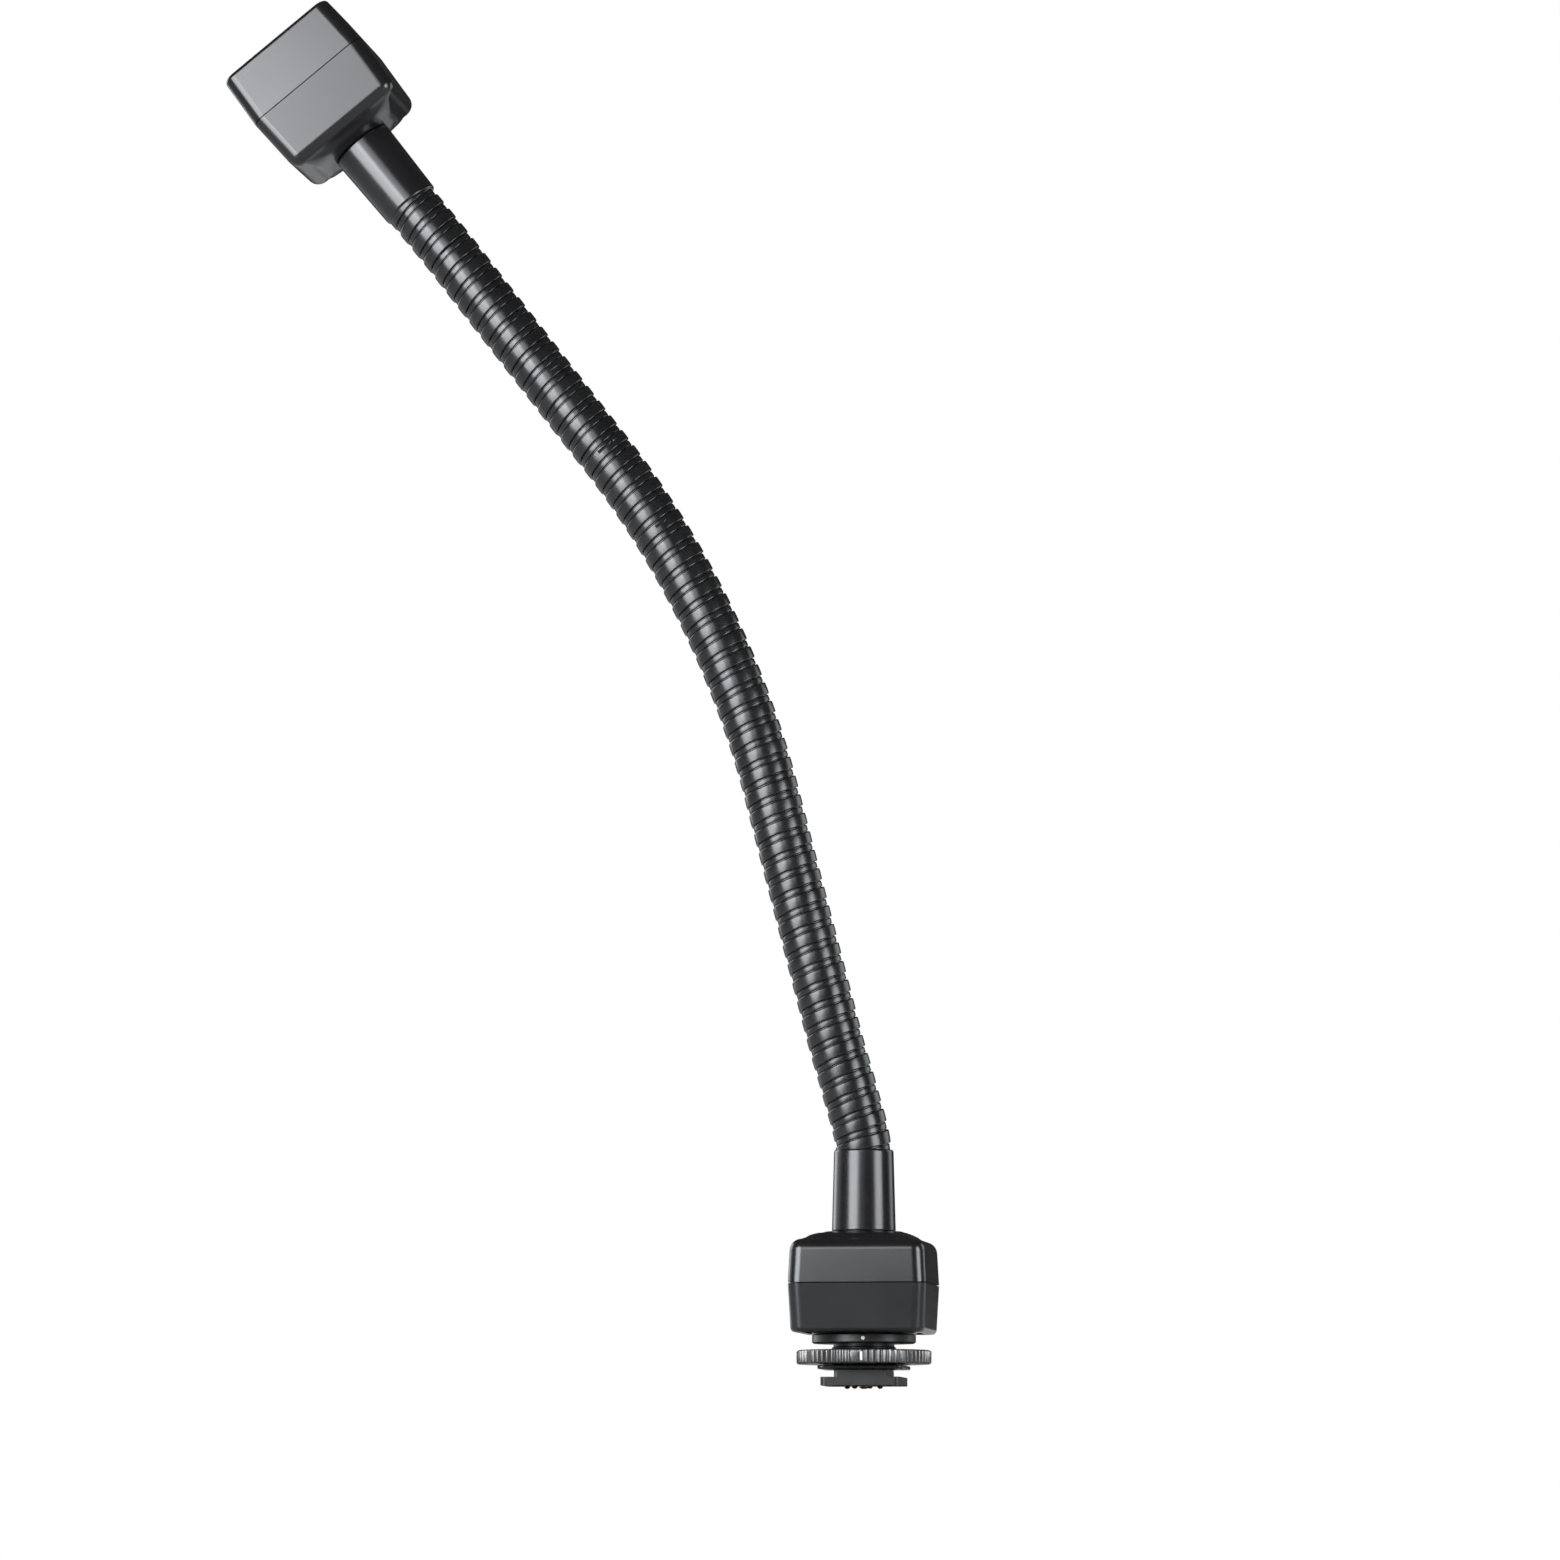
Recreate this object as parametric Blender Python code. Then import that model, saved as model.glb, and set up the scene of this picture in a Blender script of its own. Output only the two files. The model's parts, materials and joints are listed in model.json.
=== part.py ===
"""Gooseneck flash bracket: a shoe foot and a shoe socket, joined by a flexible ribbed arm.

Metres, +Z up. The origin is the centre of the shoe foot's underside, the front faces -Y, and
the arm leans towards -X. Each end is a unit with a housing of two shells, modelled in its own
frame: the ferrule's seat is at height 0, and the heights run into the housing.
"""

import math

import bmesh
import bpy
from mathutils import Vector

MM = 0.001
DEGREE = math.pi / 180
TURN = 2 * math.pi

# Fits and cuts
SEAT_GAP = 0.2 * MM
RUN_GAP = 0.3 * MM
OVERRUN = 1.0 * MM
WELD_DISTANCE = 0.0002 * MM
FINE_SIDES = 24
PLAIN_SIDES = 16
SMALL_SIDES = 8

# Shoe foot, its threaded stem and its collar
FOOT_WIDTH = 18.6 * MM
FOOT_LENGTH = 18.0 * MM
FOOT_THICKNESS = 2.0 * MM
FOOT_CORNER = 1.2 * MM
NECK_WIDTH = 12.3 * MM
NECK_LENGTH = 17.0 * MM
NECK_HEIGHT = 1.6 * MM
STEM_RADIUS = 7.5 * MM
STEM_BORE_RADIUS = 5.8 * MM
STEM_END_ABOVE_NUT = 0.5 * MM
COLLAR_RADIUS = 12.1 * MM
COLLAR_THICKNESS = 2.2 * MM
FOOT_BORE_RADIUS = 5.2 * MM
FOOT_FLOOR = 3.0 * MM

# Clamping washer, knurled locking ring and their thread
WASHER_WIDTH = 20.0 * MM
WASHER_LENGTH = 19.0 * MM
WASHER_CORNER = 1.5 * MM
WASHER_THICKNESS = 0.9 * MM
RING_RADIUS = 15.7 * MM
RING_HEIGHT = 3.3 * MM
RING_TRAVEL = 1.2 * MM
KNURL_DEPTH = 0.45 * MM
KNURL_GROUPS = 8
KNURLS_PER_GROUP = 8
KNURL_LAND_WIDTHS = 1

# Spring-loaded contacts of the foot, and the carrier above them
CONTACT_CIRCLE_RADIUS = 3.9 * MM
CONTACT_ANGLES = (-10 * DEGREE, -63 * DEGREE, -117 * DEGREE, -170 * DEGREE)
CONTACT_RADIUS = 0.65 * MM
CENTRE_CONTACT_RADIUS = 1.1 * MM
CONTACT_FLANGE = 0.3 * MM
CONTACT_FLANGE_THICKNESS = 0.6 * MM
CONTACT_STAND_OUT = 0.7 * MM
CONTACT_TAIL_RADIUS = 0.4 * MM
CARRIER_LIFT = 1.8 * MM
CARRIER_THICKNESS = 1.6 * MM

# Housings
HOUSING_WIDTH = 32.3 * MM
HOUSING_DEPTH = 34.0 * MM
HOUSING_CORNER = 3.1 * MM
CORNER_STEPS = 3
HOUSING_WALL = 2.0 * MM
HOUSING_DRAFT = 3.0 * DEGREE
PARTING_GAP = 0.3 * MM
DOME_RISE = 2.0 * MM
DOME_SEAT_RADIUS = 9.0 * MM
DOME_SEAT_CORNER_SHARE = 0.99
DOME_EDGE = 1.8 * MM
COVER_EDGE = 1.0 * MM
EDGE_STEPS = 3
LOWER_HEIGHT = 23.6 * MM
LOWER_PARTING = 12.2 * MM
UPPER_HEIGHT = 29.6 * MM
UPPER_PARTING = 16.6 * MM

# Screws that close the housings
SCREW_INSET = 4.2 * MM
SCREW_RADIUS = 1.0 * MM
SCREW_HEAD_RADIUS = 1.9 * MM
SCREW_HEAD_HEIGHT = 1.2 * MM
SCREW_HEAD_SINK = 1.6 * MM
SCREW_GRIP = 6.0 * MM
SCREW_SLOT_WIDTH = 0.5 * MM
SCREW_SLOT_DEPTH = 0.6 * MM
BOSS_WALL = 1.3 * MM
BOSS_HOLE_SPARE = 1.0 * MM

# Circuit boards and the posts that carry them
BOARD_INSET = 4.4 * MM
BOARD_THICKNESS = 1.2 * MM
POST_RADIUS = 1.5 * MM
POST_INSET = 7.5 * MM
LOWER_POST_LENGTH = 4.0 * MM
UPPER_POST_LENGTH = 3.6 * MM

# Ferrules and their nuts
FERRULE_LENGTH = 18.9 * MM
FERRULE_BASE_RADIUS = 7.45 * MM
FERRULE_MOUTH_RADIUS = 6.95 * MM
FERRULE_EDGE = 0.5 * MM
FERRULE_BORE_DEPTH = 10.5 * MM
TAIL_RADIUS = 5.0 * MM
TAIL_LENGTH = 8.0 * MM
NUT_RADIUS = 8.2 * MM
NUT_HEIGHT = 2.8 * MM
STEM_NUT_RADIUS = 10.2 * MM
STEM_NUT_HEIGHT = 2.2 * MM

# Gooseneck: a chain of ribbed links, each with a nose in the socket of the one below
LINK_COUNT = 21
LINK_SIDES = 10
RIB_PITCH = 4.5 * MM
PITCHES_PER_LINK = 2.5
RIB_CREST_RADIUS = 6.5 * MM
RIB_VALLEY_RADIUS = 6.0 * MM
RIB_CREST_SHARE = 0.62
RIB_VALLEY_SHARE = 0.81
LINK_BORE_RADIUS = 3.2 * MM
SOCKET_RADIUS = 5.5 * MM
SOCKET_LIP = 0.4 * MM
SOCKET_WALL_DEPTH = 1.2 * MM
SOCKET_CONE_RADIUS = 3.9 * MM
SOCKET_CONE_DEPTH = 4.0 * MM
SOCKET_FLOOR_DEPTH = 4.6 * MM
NOSE_RADIUS = 4.9 * MM
NOSE_BELT = 1.0 * MM
NOSE_END_RADIUS = 3.6 * MM
NOSE_END_DEPTH = 3.5 * MM
NOSE_SHOULDER = 2.25 * MM
SPIGOT_RADIUS = 5.4 * MM
SPIGOT_LENGTH = 10.0 * MM
FIRST_JOINT_HEIGHT = 3.0 * MM
FIRST_LIP_DROP = 0.1 * MM
LAST_STRETCH = 13.5 * MM
CABLE_RADIUS = 1.8 * MM

# How far the arm leans from the vertical along its length
FIRST_LEANS = (17.0 * DEGREE, 16.0 * DEGREE)
LOW_LEAN = 14.5 * DEGREE
TOP_LEAN = 37.6 * DEGREE
HEAD_LEAN = 39.0 * DEGREE
BEND_START = 86.0 * MM
BEND_LENGTH = 92.0 * MM

# Shoe socket: rails, spring, contact block and their screws
SLOT_WIDTH = 18.9 * MM
SLOT_OPENING = 12.6 * MM
SLOT_LENGTH = 18.6 * MM
SLOT_HEIGHT = 2.2 * MM
RAIL_THICKNESS = 1.0 * MM
STOP_INSET = 0.2 * MM
STOP_THICKNESS = 0.8 * MM
POCKET_DEPTH = 3.2 * MM
PAD_WIDTH = 10.8 * MM
PAD_THICKNESS = 1.0 * MM
BLOCK_RADIUS = 4.9 * MM
BLOCK_BELOW_ROOF = 1.0 * MM
PAD_CONTACT_RADIUS = 0.9 * MM
PAD_CENTRE_RADIUS = 1.5 * MM
PAD_CONTACT_THICKNESS = 0.5 * MM
RAIL_SCREW_X = 7.0 * MM
RAIL_SCREW_Y = 6.6 * MM
RAIL_SCREW_RADIUS = 0.7 * MM
RAIL_SCREW_HEAD_RADIUS = 1.1 * MM
RAIL_SCREW_LENGTH = 3.6 * MM
SPRING_THICKNESS = 0.3 * MM
SPRING_ARM = 0.8 * MM
SPRING_BOW = 0.5 * MM
SPRING_STEPS = 8

# Heights that follow from the sizes above
STEM_FOOT = FOOT_THICKNESS + NECK_HEIGHT
WASHER_Z = STEM_FOOT + SEAT_GAP
RING_Z = WASHER_Z + WASHER_THICKNESS + RUN_GAP
COLLAR_Z = RING_Z + RING_HEIGHT + RING_TRAVEL + RUN_GAP
HOUSING_Z = COLLAR_Z + COLLAR_THICKNESS + SEAT_GAP
SEAT_Z = HOUSING_Z + LOWER_HEIGHT
MOUTH_Z = SEAT_Z + SEAT_GAP + FERRULE_LENGTH
STEM_NUT_Z = HOUSING_Z + HOUSING_WALL + SEAT_GAP
STEM_TOP = STEM_NUT_Z + STEM_NUT_HEIGHT + STEM_END_ABOVE_NUT
CEILING = DOME_RISE + HOUSING_WALL
POCKET_FLOOR = UPPER_HEIGHT - POCKET_DEPTH
ROOF = POCKET_FLOOR - HOUSING_WALL
SLOT_FLOOR = POCKET_FLOOR + SEAT_GAP + RAIL_THICKNESS
LINK_LENGTH = PITCHES_PER_LINK * RIB_PITCH
HOLE_RADIUS = SCREW_RADIUS + RUN_GAP
BOSS_RADIUS = HOLE_RADIUS + BOSS_WALL
SPIGOT_BORE_RADIUS = SPIGOT_RADIUS + RUN_GAP
LOWER_BOARD_HEIGHT = LOWER_HEIGHT - HOUSING_WALL - LOWER_POST_LENGTH - SEAT_GAP - BOARD_THICKNESS
UPPER_BOARD_HEIGHT = ROOF - UPPER_POST_LENGTH - SEAT_GAP - BOARD_THICKNESS


def material(name, colour, roughness, metallic=0.0):
    """A Principled material in one colour."""
    made = bpy.data.materials.new(name)
    made.use_nodes = True
    shader = made.node_tree.nodes["Principled BSDF"]
    shader.inputs["Base Color"].default_value = (*colour, 1.0)
    shader.inputs["Roughness"].default_value = roughness
    shader.inputs["Metallic"].default_value = metallic
    made.diffuse_color = (*colour, 1.0)
    return made


def start_scene():
    for old in list(bpy.data.objects):
        bpy.data.objects.remove(old, do_unlink=True)


def empty(name, place, lean):
    """A frame for pieces: at a place, turned about Y by -lean."""
    frame = bpy.data.objects.new(name, None)
    bpy.context.collection.objects.link(frame)
    frame.location = place
    frame.rotation_euler = (0, -lean, 0)
    return frame


def finish_mesh(name, shape):
    """A mesh from a bmesh, with its doubles merged and its faces turned outwards."""
    bmesh.ops.remove_doubles(shape, verts=shape.verts, dist=WELD_DISTANCE)
    bmesh.ops.recalc_face_normals(shape, faces=shape.faces)
    mesh = bpy.data.meshes.new(name)
    shape.to_mesh(mesh)
    shape.free()
    mesh.shade_smooth()
    mesh.set_sharp_from_angle(angle=35 * DEGREE)
    return mesh


def add(name, mesh, look, parent=None, place=(0, 0, 0), lean=0.0):
    """An object of a mesh, at a place in its parent's frame."""
    piece = bpy.data.objects.new(name, mesh)
    if not mesh.materials:
        mesh.materials.append(look)
    bpy.context.collection.objects.link(piece)
    piece.parent = parent
    piece.location = place
    piece.rotation_euler = (0, -lean, 0)
    return piece


def skin(name, rows, loop=False, capped=False):
    """A closed mesh over rows of points. A loop joins the last row to the first."""
    shape = bmesh.new()
    grid = [[shape.verts.new(point) for point in row] for row in rows]
    pairs = list(zip(grid, grid[1:]))
    if loop:
        pairs.append((grid[-1], grid[0]))
    for low, high in pairs:
        for i in range(len(low) - 1):
            shape.faces.new((low[i], low[i + 1], high[i + 1], high[i]))
    if capped:
        shape.faces.new(grid[0][:-1])
        shape.faces.new(grid[-1][:-1])
    return finish_mesh(name, shape)


def ring_row(radius, height, sides):
    """Points round a circle, with the first one again at the end."""
    angles = (TURN * i / sides for i in range(sides + 1))
    return [(radius * math.cos(a), radius * math.sin(a), height) for a in angles]


def turned(name, profile, sides=PLAIN_SIDES, loop=False):
    """A turned mesh from (radius, height) points, solid in the middle or closed in a loop."""
    rows = [ring_row(radius, height, sides) for radius, height in profile]
    return skin(name, rows, loop, capped=not loop)


def rectangle_row(half_x, half_y, corner, height, centre=(0, 0)):
    """Points round a rectangle with rounded corners, with the first one again at the end."""
    row = []
    for turn, (side_x, side_y) in enumerate(((1, 1), (-1, 1), (-1, -1), (1, -1))):
        for step in range(CORNER_STEPS + 1):
            angle = TURN / 4 * (turn + step / CORNER_STEPS)
            x = centre[0] + side_x * (half_x - corner) + corner * math.cos(angle)
            y = centre[1] + side_y * (half_y - corner) + corner * math.sin(angle)
            row.append((x, y, height))
    return row + row[:1]


def block(name, low, high):
    """A box between two corners."""
    shape = bmesh.new()
    bmesh.ops.create_cube(shape, size=1.0)
    for vert in shape.verts:
        vert.co = Vector(
            high[axis] if vert.co[axis] > 0 else low[axis] for axis in range(len(low))
        )
    return finish_mesh(name, shape)


def tool(name, mesh, parent, place=(0, 0, 0)):
    """A helper that a Boolean uses, kept out of the model."""
    helper = add(name, mesh, None, parent, place)
    helper.hide_render = True
    helper.display_type = "WIRE"
    return helper


def apply_tools(piece, operation, meshes, places=None):
    """Cuts or joins meshes in the piece's own frame."""
    for number, mesh in enumerate(meshes):
        place = places[number] if places else (0, 0, 0)
        helper = tool(f"{piece.name}_{operation.lower()}_{mesh.name}", mesh, piece, place)
        step = piece.modifiers.new(f"{operation.lower()} {number}", "BOOLEAN")
        step.operation = operation
        step.object = helper


def rod(name, radius, low, high, sides=PLAIN_SIDES):
    """A plain round bar between two heights."""
    return turned(name, ((radius, low), (radius, high)), sides)


def tube(name, inner, outer, low, high, sides=PLAIN_SIDES):
    profile = ((inner, low), (outer, low), (outer, high), (inner, high))
    return turned(name, profile, sides, loop=True)


def hex_nut(name, corner_radius, bore_radius, low, high):
    """A six-sided nut with a round bore."""
    per_side = PLAIN_SIDES // 4
    sides = 6 * per_side
    bore, rim = [], []
    for i in range(sides + 1):
        angle = TURN * i / sides
        from_middle = (i % per_side) / per_side * TURN / 6 - TURN / 12
        flat = corner_radius * math.cos(TURN / 12) / math.cos(from_middle)
        bore.append((bore_radius * math.cos(angle), bore_radius * math.sin(angle)))
        rim.append((flat * math.cos(angle), flat * math.sin(angle)))
    rows = [[(x, y, height) for x, y in edge] for edge, height in
            ((bore, low), (rim, low), (rim, high), (bore, high))]
    return skin(name, rows, loop=True)


def draft(distance):
    """How far a wall leans in at a distance from the parting line."""
    return distance * math.tan(HOUSING_DRAFT)


def housing_row(inset, height, corner=HOUSING_CORNER):
    return rectangle_row(HOUSING_WIDTH / 2 - inset, HOUSING_DEPTH / 2 - inset, corner, height)


def rounded_edge(inset, wall_height, size, direction):
    """Rows that round an outer edge, from the wall to the end face."""
    rows = []
    for step in range(EDGE_STEPS + 1):
        angle = TURN / 4 * step / EDGE_STEPS
        height = wall_height + direction * size * math.sin(angle)
        rows.append(housing_row(inset + size * (1 - math.cos(angle)), height))
    return rows


def corner_places(inset, diagonal, side):
    """Two corners: side is -1 for the front and 1 for the rear, as seen at +X."""
    x, y = HOUSING_WIDTH / 2 - inset, HOUSING_DEPTH / 2 - inset
    return [(x, side * y, 0), (-x, -side * y if diagonal else side * y, 0)]


def screw_places(diagonal):
    return corner_places(SCREW_INSET, diagonal, -1)


def post_places(diagonal):
    return corner_places(POST_INSET, diagonal, 1)


def contact_places():
    """The middle contact and the four round its front."""
    r = CONTACT_CIRCLE_RADIUS
    return [(0, 0)] + [(r * math.cos(a), r * math.sin(a)) for a in CONTACT_ANGLES]


def ferrule_shell(unit, prefix, parting, diagonal, look):
    """The shell with the domed face that the ferrule stands on."""
    wall = DOME_RISE + DOME_EDGE
    end = parting - PARTING_GAP / 2
    inset = draft(parting - wall)
    seat, corner = DOME_SEAT_RADIUS, DOME_SEAT_RADIUS * DOME_SEAT_CORNER_SHARE
    rows = [rectangle_row(seat, seat, corner, 0)]
    rows += reversed(rounded_edge(inset, wall, DOME_EDGE, -1))
    rows.append(housing_row(0, end))
    shell = add(f"{prefix}_ferrule_shell", skin(f"{prefix}_shell", rows, capped=True), look, unit)
    inner = [
        housing_row(inset + HOUSING_WALL, CEILING),
        housing_row(HOUSING_WALL, end + OVERRUN),
    ]
    tail_hole = rod("tail_hole", TAIL_RADIUS + RUN_GAP, -OVERRUN, CEILING + OVERRUN)
    apply_tools(shell, "DIFFERENCE", [skin("inside", inner, capped=True), tail_hole])
    boss = rod("boss", BOSS_RADIUS, CEILING - OVERRUN, end, SMALL_SIDES)
    hole_end = parting - SCREW_GRIP - BOSS_HOLE_SPARE
    hole = rod("hole", HOLE_RADIUS, hole_end, end + OVERRUN, SMALL_SIDES)
    apply_tools(shell, "UNION", [boss, boss], screw_places(diagonal))
    apply_tools(shell, "DIFFERENCE", [hole, hole], screw_places(diagonal))
    return shell


def cover_shell(unit, prefix, parting, height, floor, post_length, diagonal, look):
    """The shell at the shoe's end. Its inner face is at the height called floor."""
    start = parting + PARTING_GAP / 2
    wall = height - COVER_EDGE
    inset = draft(height - parting)
    rows = [housing_row(0, start)] + rounded_edge(inset, wall, COVER_EDGE, 1)
    shell = add(f"{prefix}_cover_shell", skin(f"{prefix}_cover", rows, capped=True), look, unit)
    inner = [housing_row(HOUSING_WALL, start - OVERRUN), housing_row(inset + HOUSING_WALL, floor)]
    apply_tools(shell, "DIFFERENCE", [skin("inside", inner, capped=True)])
    boss = rod("boss", BOSS_RADIUS, start, floor + OVERRUN, SMALL_SIDES)
    hole = rod("hole", HOLE_RADIUS, start - OVERRUN, height + OVERRUN, SMALL_SIDES)
    sink_radius = SCREW_HEAD_RADIUS + RUN_GAP
    sink = rod("sink", sink_radius, height - SCREW_HEAD_SINK, height + OVERRUN, SMALL_SIDES)
    post = rod("post", POST_RADIUS, floor - post_length, floor + OVERRUN, SMALL_SIDES)
    apply_tools(shell, "UNION", [boss, boss], screw_places(diagonal))
    apply_tools(shell, "UNION", [post, post], post_places(diagonal))
    apply_tools(shell, "DIFFERENCE", [hole, hole], screw_places(diagonal))
    apply_tools(shell, "DIFFERENCE", [sink, sink], screw_places(diagonal))
    return shell


def housing_screws(unit, prefix, parting, height, diagonal, look):
    """Pan-head screws that go in through the shoe's face."""
    seat = height - SCREW_HEAD_SINK + SEAT_GAP
    top = seat + SCREW_HEAD_HEIGHT
    tip = parting - SCREW_GRIP
    profile = (
        (SCREW_RADIUS / 2, tip),
        (SCREW_RADIUS, tip + SCREW_RADIUS),
        (SCREW_RADIUS, seat),
        (SCREW_HEAD_RADIUS, seat),
        (SCREW_HEAD_RADIUS, top),
    )
    mesh = turned(f"{prefix}_screw", profile, SMALL_SIDES)
    slot = block(
        "slot",
        (-SCREW_HEAD_RADIUS - OVERRUN, -SCREW_SLOT_WIDTH / 2, top - SCREW_SLOT_DEPTH),
        (SCREW_HEAD_RADIUS + OVERRUN, SCREW_SLOT_WIDTH / 2, top + OVERRUN),
    )
    for number, place in enumerate(screw_places(diagonal), 1):
        screw = add(f"{prefix}_screw_{number}", mesh, look, unit, place)
        apply_tools(screw, "DIFFERENCE", [slot])


def ferrule(unit, prefix, look):
    """The smooth tapered sleeve between a housing and the arm, with its threaded tail."""
    base, mouth = -SEAT_GAP, -SEAT_GAP - FERRULE_LENGTH
    profile = (
        (SPIGOT_BORE_RADIUS, mouth),
        (FERRULE_MOUTH_RADIUS - FERRULE_EDGE, mouth),
        (FERRULE_MOUTH_RADIUS, mouth + FERRULE_EDGE),
        (FERRULE_BASE_RADIUS, base),
        (TAIL_RADIUS, base),
        (TAIL_RADIUS, TAIL_LENGTH),
        (LINK_BORE_RADIUS, TAIL_LENGTH),
        (LINK_BORE_RADIUS, mouth + FERRULE_BORE_DEPTH),
        (SPIGOT_BORE_RADIUS, mouth + FERRULE_BORE_DEPTH),
    )
    add(f"{prefix}_ferrule", turned(f"{prefix}_ferrule", profile, FINE_SIDES, True), look, unit)


def ferrule_nut(unit, prefix, look):
    low = CEILING + SEAT_GAP
    nut = hex_nut(f"{prefix}_nut", NUT_RADIUS, TAIL_RADIUS + SEAT_GAP, low, low + NUT_HEIGHT)
    add(f"{prefix}_ferrule_nut", nut, look, unit)


def circuit_board(unit, prefix, height, diagonal, look):
    """A square board with its corners cut clear of the screw bosses."""
    half_x, half_y = HOUSING_WIDTH / 2 - BOARD_INSET, HOUSING_DEPTH / 2 - BOARD_INSET
    low, high = (-half_x, -half_y, height), (half_x, half_y, height + BOARD_THICKNESS)
    board = add(f"{prefix}_circuit_board", block(f"{prefix}_board", low, high), look, unit)
    notch = rod(
        "notch",
        BOSS_RADIUS + 2 * RUN_GAP,
        height - OVERRUN,
        height + BOARD_THICKNESS + OVERRUN,
        SMALL_SIDES,
    )
    apply_tools(board, "DIFFERENCE", [notch, notch], screw_places(diagonal))


def shoe_foot(look):
    """The foot that slides into a camera's shoe: plate, neck, threaded stem and collar."""
    plate = skin(
        "foot_plate",
        [
            rectangle_row(FOOT_WIDTH / 2, FOOT_LENGTH / 2, FOOT_CORNER, height)
            for height in (0, FOOT_THICKNESS)
        ],
        capped=True,
    )
    foot = add("shoe_foot", plate, look)
    neck = block(
        "neck",
        (-NECK_WIDTH / 2, -NECK_LENGTH / 2, FOOT_THICKNESS / 2),
        (NECK_WIDTH / 2, NECK_LENGTH / 2, STEM_FOOT),
    )
    stem_profile = (
        (NECK_WIDTH / 2 - RUN_GAP, FOOT_THICKNESS),
        (NECK_WIDTH / 2 - RUN_GAP, STEM_FOOT),
        (STEM_RADIUS, STEM_FOOT),
        (STEM_RADIUS, COLLAR_Z),
        (COLLAR_RADIUS, COLLAR_Z),
        (COLLAR_RADIUS, COLLAR_Z + COLLAR_THICKNESS),
        (STEM_RADIUS, COLLAR_Z + COLLAR_THICKNESS),
        (STEM_RADIUS, STEM_TOP),
    )
    apply_tools(foot, "UNION", [neck, turned("stem", stem_profile, FINE_SIDES)])
    ledge = carrier_bottom() - SEAT_GAP
    bore_profile = (
        (FOOT_BORE_RADIUS, FOOT_FLOOR),
        (FOOT_BORE_RADIUS, ledge),
        (STEM_BORE_RADIUS, ledge),
        (STEM_BORE_RADIUS, STEM_TOP + OVERRUN),
    )
    apply_tools(foot, "DIFFERENCE", [turned("bore", bore_profile)])
    for number, (x, y) in enumerate(contact_places()):
        radius = CENTRE_CONTACT_RADIUS if number == 0 else CONTACT_RADIUS
        hole = rod(
            f"contact_hole_{number}", radius + RUN_GAP, -OVERRUN, FOOT_FLOOR + OVERRUN, SMALL_SIDES
        )
        apply_tools(foot, "DIFFERENCE", [hole], [(x, y, 0)])


def carrier_bottom():
    return FOOT_FLOOR + SEAT_GAP + CONTACT_FLANGE_THICKNESS + CARRIER_LIFT


def foot_contacts(look):
    """Spring-loaded contacts that stand out of the foot's underside."""
    flange = FOOT_FLOOR + SEAT_GAP
    for number, (x, y) in enumerate(contact_places()):
        radius = CENTRE_CONTACT_RADIUS if number == 0 else CONTACT_RADIUS
        tail_end = carrier_bottom() + CARRIER_THICKNESS
        profile = (
            (radius / 2, -CONTACT_STAND_OUT),
            (radius, -CONTACT_STAND_OUT + radius / 3),
            (radius, flange),
            (radius + CONTACT_FLANGE, flange),
            (radius + CONTACT_FLANGE, flange + CONTACT_FLANGE_THICKNESS),
            (CONTACT_TAIL_RADIUS, flange + CONTACT_FLANGE_THICKNESS),
            (CONTACT_TAIL_RADIUS, tail_end),
        )
        mesh = turned(f"foot_contact_{number + 1}", profile, SMALL_SIDES)
        add(f"foot_contact_{number + 1}", mesh, look, place=(x, y, 0))


def contact_carrier(look):
    """The insulating disc that guides the contacts' tails inside the stem."""
    low = carrier_bottom()
    disc = rod("carrier", STEM_BORE_RADIUS - SEAT_GAP, low, low + CARRIER_THICKNESS)
    carrier = add("contact_carrier", disc, look)
    for number, (x, y) in enumerate(contact_places()):
        hole = rod(
            f"tail_hole_{number}",
            CONTACT_TAIL_RADIUS + SEAT_GAP,
            low - OVERRUN,
            low + CARRIER_THICKNESS + OVERRUN,
            SMALL_SIDES,
        )
        apply_tools(carrier, "DIFFERENCE", [hole], [(x, y, 0)])


def clamp_washer(look):
    """The flat washer that the ring presses on the camera's rails."""
    rows = [
        rectangle_row(WASHER_WIDTH / 2, WASHER_LENGTH / 2, WASHER_CORNER, height)
        for height in (0, WASHER_THICKNESS)
    ]
    washer = add("clamp_washer", skin("clamp_washer", rows, capped=True), look, place=(0, 0, WASHER_Z))
    bore = rod("bore", STEM_RADIUS + RUN_GAP, -OVERRUN, WASHER_THICKNESS + OVERRUN, FINE_SIDES)
    apply_tools(washer, "DIFFERENCE", [bore])


def locking_ring(look):
    """The knurled ring: groups of grooves with plain lands between them."""
    slots = KNURLS_PER_GROUP + KNURL_LAND_WIDTHS
    columns = 2 * slots * KNURL_GROUPS
    bore, rim = [], []
    for i in range(columns + 1):
        angle = TURN * i / columns
        in_group = (i // 2) % slots
        groove = i % 2 == 1 and in_group < KNURLS_PER_GROUP
        radius = RING_RADIUS - (KNURL_DEPTH if groove else 0)
        inner = STEM_RADIUS + RUN_GAP
        bore.append((inner * math.cos(angle), inner * math.sin(angle)))
        rim.append((radius * math.cos(angle), radius * math.sin(angle)))
    rows = [[(x, y, height) for x, y in edge] for edge, height in
            ((bore, 0), (rim, 0), (rim, RING_HEIGHT), (bore, RING_HEIGHT))]
    add("locking_ring", skin("locking_ring", rows, loop=True), look, place=(0, 0, RING_Z))


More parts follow.
